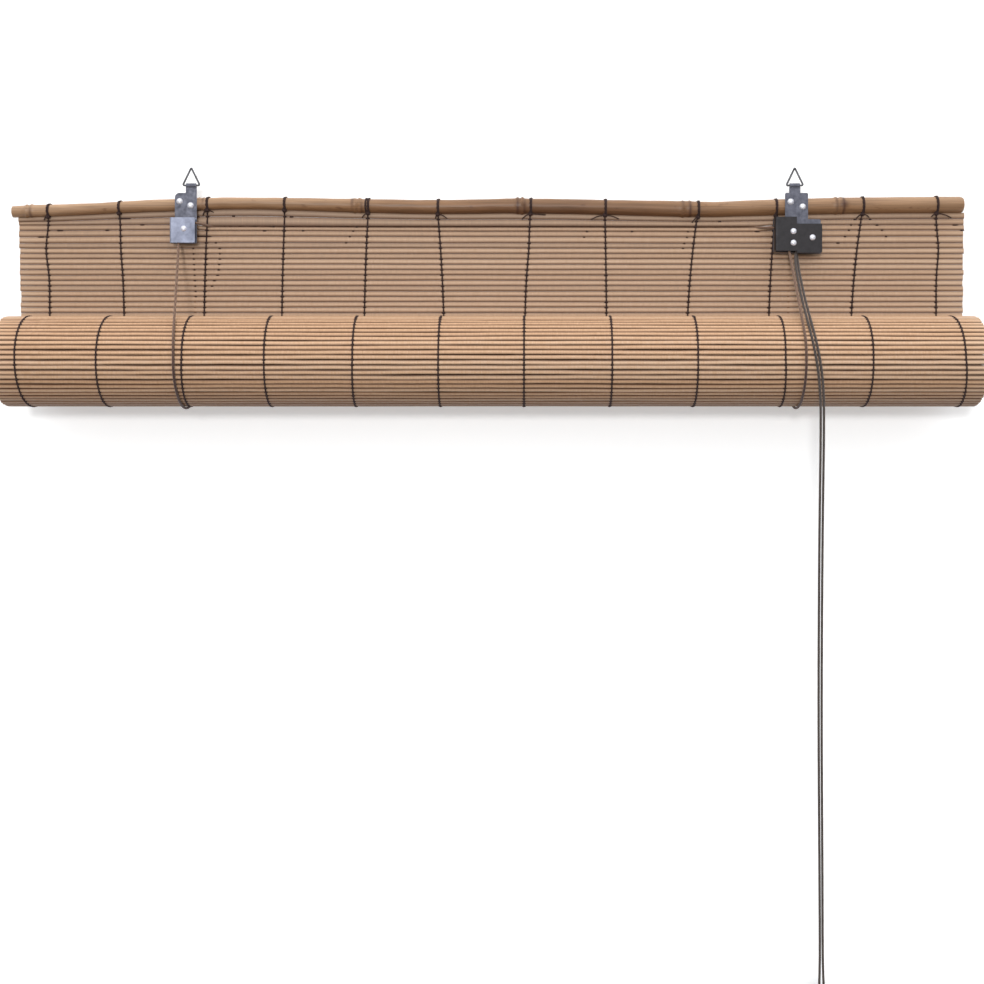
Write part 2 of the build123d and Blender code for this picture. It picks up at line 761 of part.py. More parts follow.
# Left lift cord: the same, over the left pulley, through the mat, across behind it to the lock
# and over the back pulley
left_lift_route = [
    (-1.7, 13.9, -28.7), (-1.6, 13.7, -34.0), (-1.2, 8.9, -46.0), (0.8, 8.8, -112.0),
    (3.4, 8.8, -177.2), (4.1, -14.2, -200.2), (4.3, -46.6, -200.2), (4.3, -69.6, -177.2),
    (4.2, -69.5, -148.4), (-9.2, -5.6, -64.4), (-9.8, -4.0, -56.0), (-9.8, -4.0, -44.3),
    (7.0, -4.0, -44.3), (56.0, 9.9, -46.4), (444.0, 9.9, -46.4), (482.0, -3.4, -48.2),
    (512.05, -3.4, -48.35), (512.05, -3.4, -66.0)]
cord("left_lift_cord", left_lift_route,
     {4: roll_bend, 5: roll_bend, 6: roll_bend, 7: roll_bend, 8: 34.0, 11: 5.15, 16: 3.6})

# Pull cords: the free ends below the lock, over the front of the roll and straight down
right_pull_route = [
    (512.05, -7.0, -66.0), (512.05, -7.0, -67.6), (510.1, -7.6, -72.0), (508.6, -17.4, -84.0),
    (508.5, -40.4, -112.0), (511.4, -69.6, -147.6), (516.4, -69.8, -178.0),
    (516.9, -69.9, -212.0), (515.5, -70.1, -300.0), (514.7, -70.3, -440.0),
    (515.7, -70.5, -570.0), (516.0, -70.6, -659.6)]
cord("right_pull_cord", right_pull_route, {})
left_pull_route = [
    (512.05, -3.4, -66.0), (512.05, -3.4, -67.6), (512.6, -4.2, -72.4), (511.6, -15.0, -84.4),
    (511.4, -38.6, -111.4), (514.1, -69.6, -147.0), (519.1, -69.8, -178.0),
    (519.6, -69.9, -212.0), (518.2, -70.1, -300.0), (517.4, -70.3, -440.0),
    (518.3, -70.5, -570.0), (518.4, -70.6, -659.6)]
cord("left_pull_cord", left_pull_route, {})

# Pull cord coil: the length that the blind pays out when it is let down, wound and tied
coil_x, coil_y, coil_z = coil_centre
with BuildPart() as pull_cord_coil:
    with BuildSketch(Plane.XY.offset(coil_z)):
        with Locations((coil_x + coil_mean_radius, coil_y)):
            RegularPolygon(coil_section_radius, 8, rotation=22.5)
    revolve(axis=Axis(coil_centre, (0, 1, 0)))
save(pull_cord_coil.part, "pull_cord_coil")

tie_inner = coil_section_radius + 0.3
with BuildPart() as coil_tie:
    with BuildSketch(Plane.YZ.offset(coil_x - tie_length / 2)):
        with Locations((coil_y, coil_z + coil_mean_radius)):
            Circle(tie_inner + tie_thickness)
            Circle(tie_inner, mode=Mode.SUBTRACT)
    extrude(amount=tie_length)
save(coil_tie.part, "coil_tie")

coil_low = coil_z - coil_mean_radius - coil_section_radius * cos(radians(22.5))
for name, side in (("left", 0.5), ("right", -0.5)):
    x = coil_x + side * end_knot_spacing
    with BuildPart() as end_knot:
        with BuildSketch(Plane((x, coil_y, coil_low), x_dir=(1, 0, 0), z_dir=(0, -1, 0))):
            with BuildLine():
                knot_top = -end_tail
                knot_low = knot_top - 2 * end_knot_radius
                waist = end_knot_radius / 2
                Polyline((0, 2), (cord_radius, 2), (cord_radius, knot_top),
                         (end_knot_radius, knot_top - waist), (end_knot_radius, knot_low + waist),
                         (cord_radius, knot_low), (0, knot_low), close=True)
            make_face()
        revolve(axis=Axis((x, coil_y, coil_low), (0, 0, 1)))
    save(end_knot.part, f"{name}_end_knot")
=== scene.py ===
# %% [markdown]
# A bamboo roll-up blind, hung from two wire eyes in front of a white wall. The solids come from the
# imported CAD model. Its sheet metal, nails, rivets, pulleys, cam and batten keep their shape and get
# a finish. What is grown, woven, soft or bent by hand is made anew: the cane, the reeds, the
# strings, the cords and the wire eyes. Blender works in metres. Most numbers below are millimetres,
# as on a drawing, and MM turns them into metres.

# %% Load the frame
import bpy
import json
import math
import random
import numpy as np
from mathutils import Matrix, Vector


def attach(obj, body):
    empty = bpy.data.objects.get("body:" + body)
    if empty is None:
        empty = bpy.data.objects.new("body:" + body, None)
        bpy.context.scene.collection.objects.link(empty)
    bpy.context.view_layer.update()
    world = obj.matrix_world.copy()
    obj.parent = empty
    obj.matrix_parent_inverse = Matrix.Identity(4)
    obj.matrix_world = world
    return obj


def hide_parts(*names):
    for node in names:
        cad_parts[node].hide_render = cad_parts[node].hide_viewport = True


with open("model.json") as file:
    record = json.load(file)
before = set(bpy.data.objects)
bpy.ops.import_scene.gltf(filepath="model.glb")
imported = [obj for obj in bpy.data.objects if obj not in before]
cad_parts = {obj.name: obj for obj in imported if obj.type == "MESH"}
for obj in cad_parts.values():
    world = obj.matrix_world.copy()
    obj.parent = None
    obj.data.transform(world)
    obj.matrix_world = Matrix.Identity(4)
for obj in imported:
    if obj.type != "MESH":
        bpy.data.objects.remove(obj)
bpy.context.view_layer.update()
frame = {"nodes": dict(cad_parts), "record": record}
scene = bpy.context.scene
scene.view_settings.view_transform = "Standard"
MM = 0.001

# %% [markdown]
# The photograph is a square of 984 pixels. Its lens stood level, straight in front of the blind and
# at the height of the roll. Turning the camera would bring the blind higher in the frame as well,
# but upright edges would then lean. A shift slides the frame and keeps them upright.

# %% Camera
photo_width = 984
focal_pixels = 1244
sensor_width = 36
# The pixel that the lens looks at squarely
axis_column, axis_row = 524, 380
lens_place = (0.282, -1.0545, -0.177)

bpy.ops.object.camera_add(location=lens_place, rotation=(math.radians(90), 0, 0))
camera = bpy.context.object
camera.data.sensor_width = sensor_width
camera.data.lens = sensor_width * focal_pixels / photo_width
camera.data.shift_x = (photo_width / 2 - axis_column) / photo_width
camera.data.shift_y = -(photo_width / 2 - axis_row) / photo_width
scene.camera = camera
print("lens of", round(camera.data.lens, 1), "mm")

# %% [markdown]
# Small helpers. Primitives come selected, and so do the CAD nodes after loading, so everything is
# deselected before a new piece is begun. A piece is shaped by moving its vertices in code, which is
# what a hand does with proportional editing.

# %% Helpers for meshes
# Faces that meet at less than this many degrees are shaded as one round surface
smooth_angle = 40


def deselect():
    """Nothing is selected after this."""
    bpy.ops.object.select_all(action="DESELECT")


def select_only(piece):
    """One piece is selected and active after this."""
    deselect()
    piece.select_set(True)
    bpy.context.view_layer.objects.active = piece


def points_of(piece):
    """The vertices of a mesh as rows of x, y and z."""
    flat = np.empty(len(piece.data.vertices) * 3)
    piece.data.vertices.foreach_get("co", flat)
    return flat.reshape(-1, 3)


def move_points(piece, points):
    """Write moved vertices back."""
    piece.data.vertices.foreach_set("co", np.asarray(points, float).ravel())
    piece.data.update()


def paint(piece, name, values):
    """Store one number per vertex, which a material reads by name."""
    layer = piece.data.attributes.new(name, "FLOAT", "POINT")
    layer.data.foreach_set("value", np.asarray(values, float))


def join(pieces, name):
    """Make one piece out of several."""
    deselect()
    for piece in pieces:
        piece.select_set(True)
    bpy.context.view_layer.objects.active = pieces[0]
    if len(pieces) > 1:
        bpy.ops.object.join()
    whole = bpy.context.object
    whole.name = whole.data.name = name
    return whole


def dress(piece, material, slot, *nodes, body="blind"):
    """Finish a piece: its material, smooth faces, its body and the nodes that it stands for."""
    select_only(piece)
    bpy.ops.object.transform_apply(location=True, rotation=True, scale=True)
    if piece.type == "MESH":
        bpy.ops.object.shade_smooth_by_angle(angle=math.radians(smooth_angle))
    piece.data.materials.clear()
    piece.data.materials.append(material)
    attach(piece, body)
    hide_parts(*nodes)
    print(piece.name, "dressed")


def long_bar(sides, *cuts):
    """A round bar along X from 0 to 1, with a radius of 1. Each cut divides its length again."""
    deselect()
    bpy.ops.mesh.primitive_cylinder_add(vertices=sides, radius=1, depth=1,
                                        end_fill_type="NGON", location=(0.5, 0, 0),
                                        rotation=(0, math.radians(90), 0))
    bar = bpy.context.object
    bpy.ops.object.transform_apply(location=True, rotation=True, scale=True)
    for cut in cuts:
        bpy.ops.object.mode_set(mode="EDIT")
        bpy.ops.mesh.select_mode(type="EDGE")
        bpy.ops.mesh.select_all(action="DESELECT")
        bpy.ops.object.mode_set(mode="OBJECT")
        across = points_of(bar)[:, 0]
        ends = np.empty(len(bar.data.edges) * 2, int)
        bar.data.edges.foreach_get("vertices", ends)
        lengthwise = abs(across[ends[0::2]] - across[ends[1::2]]) > 1e-4
        bar.data.edges.foreach_set("select", lengthwise)
        bpy.ops.object.mode_set(mode="EDIT")
        bpy.ops.mesh.subdivide(number_cuts=cut)
        bpy.ops.object.mode_set(mode="OBJECT")
    return bar


def copy_of(piece, points):
    """A copy with its own mesh, whose vertices are moved to the given places."""
    twin = piece.copy()
    twin.data = piece.data.copy()
    bpy.context.collection.objects.link(twin)
    move_points(twin, points)
    return twin


# %% [markdown]
# Materials. Grain, braid and wear are used by more than one material, so each is a node group that
# gives masks. The shader stays in the material. Patterns read Object coordinates, or numbers that
# were stored on the vertices, such as the tone of each reed.

# %% Node group tools
def new_group(name, inputs, outputs):
    """An empty shader node group with float inputs (name: default) and named outputs."""
    group = bpy.data.node_groups.new(name, "ShaderNodeTree")
    for label, default in inputs.items():
        kind = "NodeSocketVector" if default is None else "NodeSocketFloat"
        socket = group.interface.new_socket(label, in_out="INPUT", socket_type=kind)
        if default is not None:
            socket.default_value = default
    for label in outputs:
        group.interface.new_socket(label, in_out="OUTPUT", socket_type="NodeSocketFloat")
    return group, group.nodes.new("NodeGroupInput"), group.nodes.new("NodeGroupOutput")


def put(tree, kind, settings=None, **inputs):
    """Add a node, set its properties and its inputs; an input may be a value or a socket."""
    node = tree.nodes.new(kind)
    for key, value in (settings or {}).items():
        setattr(node, key, value)
    for key, value in inputs.items():
        place = int(key[1:]) if key[0] == "i" and key[1:].isdigit() else key.replace("_", " ")
        socket = node.inputs[place]
        if isinstance(value, bpy.types.NodeSocket):
            tree.links.new(value, socket)
        else:
            socket.default_value = value
    return node


def calc(tree, operation, a, b=0.5):
    """A Math node's value. Its third input stays 0.5, which MULTIPLY_ADD adds."""
    return put(tree, "ShaderNodeMath", {"operation": operation}, i0=a, i1=b).outputs[0]


def weigh(tree, first, share, second):
    """Mix two numbers: this share of the first, the rest of the second."""
    return calc(tree, "ADD", calc(tree, "MULTIPLY", first, share),
                calc(tree, "MULTIPLY", second, 1 - share))


def stretch(tree, value, low, high, to_low=0.0, to_high=1.0):
    """A Map Range node's value: low to high becomes to_low to to_high."""
    return put(tree, "ShaderNodeMapRange", Value=value, i1=low, i2=high, i3=to_low,
               i4=to_high).outputs[0]


def mix_colour(tree, factor, a, b, blend="MIX"):
    """Mix two colours."""
    node = put(tree, "ShaderNodeMix", {"data_type": "RGBA", "blend_type": blend}, i0=factor)
    for value, socket in ((a, node.inputs[6]), (b, node.inputs[7])):
        if isinstance(value, bpy.types.NodeSocket):
            tree.links.new(value, socket)
        else:
            socket.default_value = (*value, 1)
    return node.outputs[2]


def shaded(tree, colour, number):
    """A colour made darker or brighter by a number, with the same hue."""
    grey = put(tree, "ShaderNodeCombineColor", Red=number, Green=number, Blue=number)
    return mix_colour(tree, 1.0, colour, grey.outputs[0], "MULTIPLY")


def ramp(tree, factor, *stops):
    """A colour ramp: stops are (position, colour)."""
    node = put(tree, "ShaderNodeValToRGB", i0=factor)
    line = node.color_ramp
    while len(line.elements) < len(stops):
        line.elements.new(0.5)
    for element, (position, colour) in zip(line.elements, stops):
        element.position = position
        element.color = (*colour, 1)
    return node.outputs[0]


# %% [markdown]
# Three effects are shared. Bamboo splits along its fibres, so its grain is noise that is squeezed
# across the reed and drawn out along it. A braid's strands slant both ways, which two crossing sine
# waves give without a picture. Metal is scuffed unevenly, and bare where a sheet was cut. Geometry's
# Normal finds those edges, so nothing has to be painted by hand. On the left block the same faces are
# painted nearly black instead: painted shade.

# %% Shared groups: grain, braid and wear
def make_grain():
    """Fibres that run along X: fine streaks, broad tone patches and short dark specks."""
    group, get, out = new_group("long_grain", {"Vector": None, "Streaks": 900.0, "Seed": 0.0},
                                ("Fine", "Broad", "Specks"))
    seed = get.outputs["Seed"]
    shifted = put(group, "ShaderNodeCombineXYZ", X=calc(group, "MULTIPLY", seed, 7.3), Y=seed,
                  Z=calc(group, "MULTIPLY", seed, 3.1))
    place = put(group, "ShaderNodeVectorMath", {"operation": "ADD"},
                i0=get.outputs["Vector"], i1=shifted.outputs[0])

    def noise(squeeze, **settings):
        """Noise in a space that is squeezed or drawn out along each axis."""
        space = put(group, "ShaderNodeVectorMath", {"operation": "MULTIPLY"},
                    i0=place.outputs[0], i1=squeeze)
        return put(group, "ShaderNodeTexNoise", Vector=space.outputs[0], **settings).outputs[0]

    fine = noise((0.03, 1.0, 1.0), Scale=get.outputs["Streaks"], Detail=4.0, Roughness=0.6)
    broad = noise((1.0, 2.0, 2.0), Scale=9.0, Detail=3.0, Roughness=0.55)
    speck = noise((1.0, 3.0, 3.0), Scale=105.0, Detail=2.0)
    group.links.new(fine, out.inputs["Fine"])
    group.links.new(broad, out.inputs["Broad"])
    group.links.new(stretch(group, speck, 0.66, 0.76), out.inputs["Specks"])
    return group


def make_braid():
    """Two sets of slanting strands, from a place along (U) and round (V) a cord."""
    group, get, out = new_group("braid", {"Vector": None, "Along": 800.0, "Round": 4.0}, ("Strand",))
    split = put(group, "ShaderNodeSeparateXYZ", Vector=get.outputs["Vector"])
    along = calc(group, "MULTIPLY", split.outputs[0], get.outputs["Along"])
    around = calc(group, "MULTIPLY", split.outputs[1], get.outputs["Round"])
    waves = []
    for sign in ("ADD", "SUBTRACT"):
        slant = calc(group, sign, along, around)
        waves.append(calc(group, "SINE", calc(group, "MULTIPLY", slant, 2 * math.pi)))
    both = calc(group, "MAXIMUM", *waves)
    group.links.new(calc(group, "MULTIPLY_ADD", both, 0.5), out.inputs["Strand"])
    return group


def make_wear():
    """Scuffs on sheet metal, and a mask for edges that face right, up or down."""
    group, get, out = new_group("metal_wear", {"Vector": None, "Scale": 240.0}, ("Scuff", "Edge"))
    scuff = put(group, "ShaderNodeTexNoise", Vector=get.outputs["Vector"],
                Scale=get.outputs["Scale"], Detail=5.0, Roughness=0.7)
    normal = group.nodes.new("ShaderNodeNewGeometry").outputs["Normal"]
    facing = put(group, "ShaderNodeSeparateXYZ", Vector=normal)
    upright = calc(group, "ABSOLUTE", facing.outputs[2])
    sideways = calc(group, "MAXIMUM", facing.outputs[0], upright)
    group.links.new(scuff.outputs[0], out.inputs["Scuff"])
    group.links.new(stretch(group, sideways, 0.75, 0.95), out.inputs["Edge"])
    return group


grain_group = make_grain()
braid_group = make_braid()
wear_group = make_wear()
print("node groups:", [group.name for group in (grain_group, braid_group, wear_group)])

# %% [markdown]
# Every material starts from a Principled shader and Object coordinates, in which a pattern stays
# where it is on the piece. A stored number, a group and a bump are added in the same way each time,
# so a few short helpers do it.

# %% Tools for materials
def new_material(name):
    """A material with a Principled shader, its node tree and Object coordinates."""
    material = bpy.data.materials.new(name)
    material.use_nodes = True
    tree = material.node_tree
    shader = tree.nodes["Principled BSDF"]
    place = tree.nodes.new("ShaderNodeTexCoord").outputs["Object"]
    return material, tree, shader, place


def attribute(tree, name):
    """A number stored on the vertices."""
    return put(tree, "ShaderNodeAttribute", {"attribute_name": name}).outputs["Fac"]


def use_group(tree, group, **inputs):
    """Place a node group in a material."""
    return put(tree, "ShaderNodeGroup", {"node_tree": group}, **inputs)


def connect(tree, shader, colour, **plain):
    """Give the shader its colour and plain values; an underscore stands for a space."""
    tree.links.new(colour, shader.inputs["Base Color"])
    for key, value in plain.items():
        shader.inputs[key.replace("_", " ")].default_value = value


def bump(tree, shader, height, strength, distance):
    """Fine relief through the shader's normal."""
    node = put(tree, "ShaderNodeBump", Strength=strength, Distance=distance, Height=height)
    tree.links.new(node.outputs[0], shader.inputs["Normal"])

# %% [markdown]
# Split reed. The skin of bamboo is smooth and slightly glossy, the split sides are dark and rough.
# Their dark colour spreads over each reed's face towards its edges, more at its lower edge: partly
# the split sides, partly painted shade in the gaps and under each reed. A material for each reed
# would
# do, but there are hundreds: instead each reed's tone is a number on its vertices, which one material
# reads, and its colour wanders along its length. The hanging reeds have greyed in the light, and the
# rolled ones are warmer.

# %% Split reed
def reed_material(name, dark, mid, pale, edge_and_shade_tone):
    """Split reed from dark to pale, with darker split sides and painted shade at the edges of each
    reed.
    """
    material, tree, shader, place = new_material(name)
    tone = attribute(tree, "tone")
    grain = use_group(tree, grain_group, Vector=place, Streaks=1500.0,
                      Seed=calc(tree, "MULTIPLY_ADD", tone, 40.0))
    blend = weigh(tree, tone, 0.4, grain.outputs["Broad"])
    colour = ramp(tree, blend, (0.22, dark), (0.5, mid), (0.78, pale))
    colour = shaded(tree, colour, stretch(tree, grain.outputs["Fine"], 0.35, 0.7, 0.82, 1.08))
    specks = calc(tree, "MULTIPLY", grain.outputs["Specks"], 0.55)
    colour = mix_colour(tree, specks, colour, edge_and_shade_tone)
    # Darker towards each reed's edges: partly its split sides, partly painted shade in the gaps,
    # along its lower edge and under the roll
    sides = stretch(tree, attribute(tree, "rim_and_shade"), 0.20, 0.92)
    colour = mix_colour(tree, calc(tree, "MULTIPLY", sides, 0.92), colour, edge_and_shade_tone)
    connect(tree, shader, colour, Roughness=0.48, Specular_IOR_Level=0.35)
    bump(tree, shader, grain.outputs["Fine"], 0.25, 0.0004)
    return material


# The greyish dark stop shows most on the first reeds, where it stands for painted shadow of the cane
hanging_reed = reed_material("hanging_reed", (0.415, 0.278, 0.186), (0.55, 0.352, 0.221),
                             (0.66, 0.45, 0.304), (0.080, 0.030, 0.013))
rolled_reed = reed_material("rolled_reed", (0.58, 0.335, 0.185), (0.74, 0.458, 0.272),
                            (0.85, 0.59, 0.40), (0.080, 0.026, 0.009))

# %% [markdown]
# The cane is a whole stem, not split. Its skin is darker than the reeds and was dried over a fire,
# so its brown changes along its length. The batten in the core of the roll is plain planed wood.
# Both could have their own noise. They use the same grain, with other streaks and colours, because
# a change to the grain then reaches all the bamboo at once.

# %% Cane and batten
def cane_material():
    """Dried cane: tan brown skin with long dark streaks, ringed and scarred at its knots."""
    material, tree, shader, place = new_material("cane_skin")
    grain = use_group(tree, grain_group, Vector=place, Streaks=700.0, Seed=5.0)
    blend = weigh(tree, attribute(tree, "tone"), 0.7, grain.outputs["Broad"])
    colour = ramp(tree, blend, (0.2, (0.12, 0.050, 0.021)), (0.5, (0.26, 0.135, 0.062)),
                  (0.8, (0.46, 0.285, 0.165)))
    colour = shaded(tree, colour, stretch(tree, grain.outputs["Fine"], 0.3, 0.7, 0.7, 1.15))
    specks = calc(tree, "MULTIPLY", grain.outputs["Specks"], 0.5)
    colour = mix_colour(tree, specks, colour, (0.10, 0.04, 0.02))
    colour = mix_colour(tree, attribute(tree, "scar"), colour, (0.055, 0.018, 0.009))
    connect(tree, shader, colour, Roughness=0.42, Specular_IOR_Level=0.4)
    bump(tree, shader, grain.outputs["Fine"], 0.3, 0.0006)
    return material


def batten_material():
    """Pale planed wood."""
    material, tree, shader, place = new_material("batten_wood")
    grain = use_group(tree, grain_group, Vector=place, Streaks=500.0, Seed=9.0)
    colour = ramp(tree, grain.outputs["Fine"], (0.3, (0.36, 0.22, 0.11)), (0.7, (0.55, 0.38, 0.22)))
    connect(tree, shader, colour, Roughness=0.6)
    return material


cane_skin = cane_material()
batten_wood = batten_material()
print("bamboo and wood:", hanging_reed.name, rolled_reed.name, cane_skin.name, batten_wood.name)

# %% [markdown]
# Cord and string. The cords are braided, the binding strings are twisted twine. Modelled strands
# would need far too many faces at 2 mm, so the braid is a pattern on the cord's own UV map, which
# follows every bend, and shows as relief. The lift cords are painted darker towards the bottom, where
# they pass under the roll: painted shade.

# %% Cord and string
def cord_material(name, dark, pale, along, around, shade_under_roll=False):
    """Braided fibre; along counts strands over the whole cord. With the last argument set, it is
    painted darker towards the bottom, under the roll: painted shade."""
    material, tree, shader, place = new_material(name)
    spot = put(tree, "ShaderNodeUVMap").outputs[0]
    strand = use_group(tree, braid_group, Vector=spot, Along=along, Round=around).outputs[0]
    fuzz = put(tree, "ShaderNodeTexNoise", Vector=place, Scale=900.0, Detail=4.0).outputs[0]
    colour = mix_colour(tree, weigh(tree, strand, 0.6, fuzz), dark, pale)
    if shade_under_roll:
        # Painted shade: darker towards the bottom, where the cord passes under the roll
        height = put(tree, "ShaderNodeSeparateXYZ", Vector=place).outputs[2]
        low = stretch(tree, height, -0.118, -0.172, 0.0, 0.85)
        colour = mix_colour(tree, low, colour, (0.035, 0.009, 0.008))
    connect(tree, shader, colour, Roughness=0.85, Sheen_Weight=0.25)
    bump(tree, shader, strand, 0.6, 0.0003)
    return material


lift_braid = cord_material("lift_cord_braid", (0.040, 0.021, 0.014), (0.26, 0.145, 0.090), 300, 3,
                            shade_under_roll=True)
pull_braid = cord_material("pull_cord_braid", (0.015, 0.010, 0.009), (0.080, 0.058, 0.049), 1500, 3)


def string_material():
    """Very dark brown twine."""
    material, tree, shader, place = new_material("binding_twine")
    fuzz = put(tree, "ShaderNodeTexNoise", Vector=place, Scale=1600.0, Detail=3.0).outputs[0]
    colour = ramp(tree, fuzz, (0.35, (0.010, 0.004, 0.003)), (0.7, (0.058, 0.024, 0.019)))
    connect(tree, shader, colour, Roughness=0.9)
    bump(tree, shader, fuzz, 0.8, 0.0003)
    return material


twine = string_material()
print("fibres:", lift_braid.name, pull_braid.name, twine.name)

# %% [markdown]
# Metal. The straps are dull zinc plate, the left block is bright with a bluish passivated skin, and
# the cord lock is dark with bare cut edges. A fully metallic plate would mirror the white room and
# lose its shape, so the plates are only partly metallic. Scuffs change colour and roughness together.

# %% Metals
def sheet_metal(name, dark, pale, metallic, rough, edge=None, scale=240.0):
    """Plated or painted sheet with scuffs. Where edge gives a colour, the faces that look right, up
    or down take it: bare cut edges on most parts, painted shade on the left block.
    """
    material, tree, shader, place = new_material(name)
    wear = use_group(tree, wear_group, Vector=place, Scale=scale)
    scuff = stretch(tree, wear.outputs["Scuff"], 0.3, 0.7)
    colour = mix_colour(tree, scuff, dark, pale)
    if edge:
        colour = mix_colour(tree, wear.outputs["Edge"], colour, edge)
    connect(tree, shader, colour, Metallic=metallic)
    polished, dull = rough
    roughness = stretch(tree, wear.outputs["Scuff"], 0.3, 0.7, dull, polished)
    tree.links.new(roughness, shader.inputs["Roughness"])
    bump(tree, shader, wear.outputs["Scuff"], 0.15, 0.0002)
    return material


finishes = {
    "wire_eye": sheet_metal("eye_wire", (0.045, 0.045, 0.050), (0.13, 0.13, 0.14), 0.6, (0.3, 0.5)),
    "strap_steel": sheet_metal("strap_zinc", (0.066, 0.068, 0.090), (0.142, 0.146, 0.184), 0.45,
                               (0.4, 0.6), (0.32, 0.32, 0.38)),
    "nail_steel": sheet_metal("nail_bright", (0.72, 0.72, 0.78), (0.88, 0.88, 0.92), 0.6,
                              (0.35, 0.5)),
    "rivet_steel": sheet_metal("rivet_bright", (0.66, 0.66, 0.74), (0.84, 0.84, 0.90), 0.6,
                               (0.35, 0.5)),
    # The left block's faces that look right, up and down are painted nearly black: painted shade
    "bright_housing": sheet_metal("block_passivated", (0.13, 0.142, 0.192), (0.325, 0.35, 0.455),
                                  0.4, (0.35, 0.5), (0.05, 0.05, 0.07), 70.0),
    "dark_housing": sheet_metal("lock_gunmetal", (0.009, 0.0074, 0.009), (0.019, 0.016, 0.019),
                                0.3, (0.4, 0.55), (0.16, 0.16, 0.19)),
    "pulley_steel": sheet_metal("pulley_turned", (0.20, 0.20, 0.22), (0.40, 0.40, 0.43), 0.9,
                                (0.3, 0.5)),
    "cam_steel": sheet_metal("cam_tumbled", (0.16, 0.16, 0.17), (0.34, 0.34, 0.36), 0.9, (0.4, 0.6)),
    "batten": batten_wood,
}
slot_of = {part["node"]: part["material_slot"] for part in frame["record"]["subparts"]}
for node, piece in frame["nodes"].items():
    finish = finishes.get(slot_of[node])
    if finish:
        piece.data.materials.clear()
        piece.data.materials.append(finish)
print(len(finishes), "finishes for", len(frame["nodes"]), "CAD nodes")

# %% [markdown]
# The pull cords come first. Each leaves the lock, leans over the front of the roll and hangs
# straight down. They go up when the blind is let down, so rolled up there is a lot of cord left
# over: it is wound in one coil just below the picture. A cord is a curve with a round section, not
# a mesh, because a curve keeps its section in every bend and its length can be measured. The points
# of its way are listed one by one, and a loop works out the turns of the coil.

# %% Pull cords and their coil
cord_radius = 1.0
coil_centre = Vector((517.2, -70.6, -686.0))
coil_mean_radius = 17.5
turn_spacing = 2.06
points_per_turn = 14
# Half widths of the four rows in which one cord's turns lie, outwards from the coil's middle plane
row_halves = (6.2, 5.1, 4.1, 1.0)
# The last part of each turn steps over to the next one's place
step_over = 0.3

right_pull_route = [
    (512.05, -7.0, -66.0), (512.05, -7.0, -67.6), (510.1, -7.6, -72.0), (508.6, -17.4, -84.0),
    (508.5, -40.4, -112.0), (511.4, -69.6, -147.6), (516.4, -69.8, -178.0),
    (517.1, -69.9, -212.0), (515.7, -70.1, -300.0), (514.9, -70.3, -440.0),
    (515.8, -70.5, -570.0), (516.2, -70.6, -659.6)]
left_pull_route = [
    (512.05, -3.4, -66.0), (512.05, -3.4, -67.6), (512.6, -4.2, -72.4), (511.6, -15.0, -84.4),
    (511.4, -38.6, -111.4), (514.1, -69.6, -147.0), (519.2, -69.8, -178.0),
    (519.6, -69.9, -212.0), (518.2, -70.1, -300.0), (517.3, -70.3, -440.0),
    (518.1, -70.5, -570.0), (518.3, -70.6, -659.6)]


def winding(side):
    """Places of one cord's turns in the section of the coil, in an order that never jumps far."""
    places = []
    for row, half in enumerate(row_halves):
        across = (row + 0.5) * turn_spacing * math.sin(math.radians(60))
        count = int(2 * half / turn_spacing) + 1
        spread = [(k - (count - 1) / 2) * turn_spacing for k in range(count)]
        places += [(u, side * across) for u in (spread if row % 2 == 0 else spread[::-1])]
    return places


def coil_points(side):
    """The turns of one cord, from the top of the coil round and round to its foot."""
    places = winding(side)
    steps = points_per_turn * len(places) + points_per_turn // 2
    points = []
    for k in range(1, steps):
        turns = k / points_per_turn
        near = min(int(turns), len(places) - 1)
        far = min(near + 1, len(places) - 1)
        share = min(1.0, max(0.0, (turns - near - (1 - step_over)) / step_over))
        u = places[near][0] + share * (places[far][0] - places[near][0])
        v = places[near][1] + share * (places[far][1] - places[near][1])
        angle = math.radians(90) - side * 2 * math.pi * turns
        reach = coil_mean_radius + u
        points.append((coil_centre.x + reach * math.cos(angle), coil_centre.y + v,
                       coil_centre.z + reach * math.sin(angle)))
    return points


def cord_curve(name, route, radius=cord_radius, sides=3, smoothness=4):
    """A smooth round cord whose control points are the route's points, given in millimetres."""
    data = bpy.data.curves.new(name, "CURVE")
    data.dimensions = "3D"
    data.resolution_u = smoothness
    data.bevel_depth = radius * MM
    data.bevel_resolution = sides
    data.use_fill_caps = True
    spline = data.splines.new("NURBS")
    spline.points.add(len(route) - 1)
    for point, place in zip(spline.points, route):
        point.co = (*(Vector(place) * MM), 1)
    spline.order_u = 3
    spline.use_endpoint_u = True
    piece = bpy.data.objects.new(name, data)
    bpy.context.collection.objects.link(piece)
    return piece


def as_mesh(curve):
    """Turn a curve into a mesh."""
    select_only(curve)
    bpy.ops.object.convert(target="MESH")
    return bpy.context.object


def length_of(piece):
    """Length of a curve in metres, measured on a copy that is a bare line."""
    bare = piece.copy()
    bare.data = piece.data.copy()
    bare.data.bevel_depth = 0
    bpy.context.collection.objects.link(bare)
    bpy.context.view_layer.update()
    mesh = bpy.data.meshes.new_from_object(bare)
    line = [v.co.copy() for v in mesh.vertices]
    bpy.data.objects.remove(bare)
    bpy.data.meshes.remove(mesh)
    return sum((b - a).length for a, b in zip(line, line[1:]))


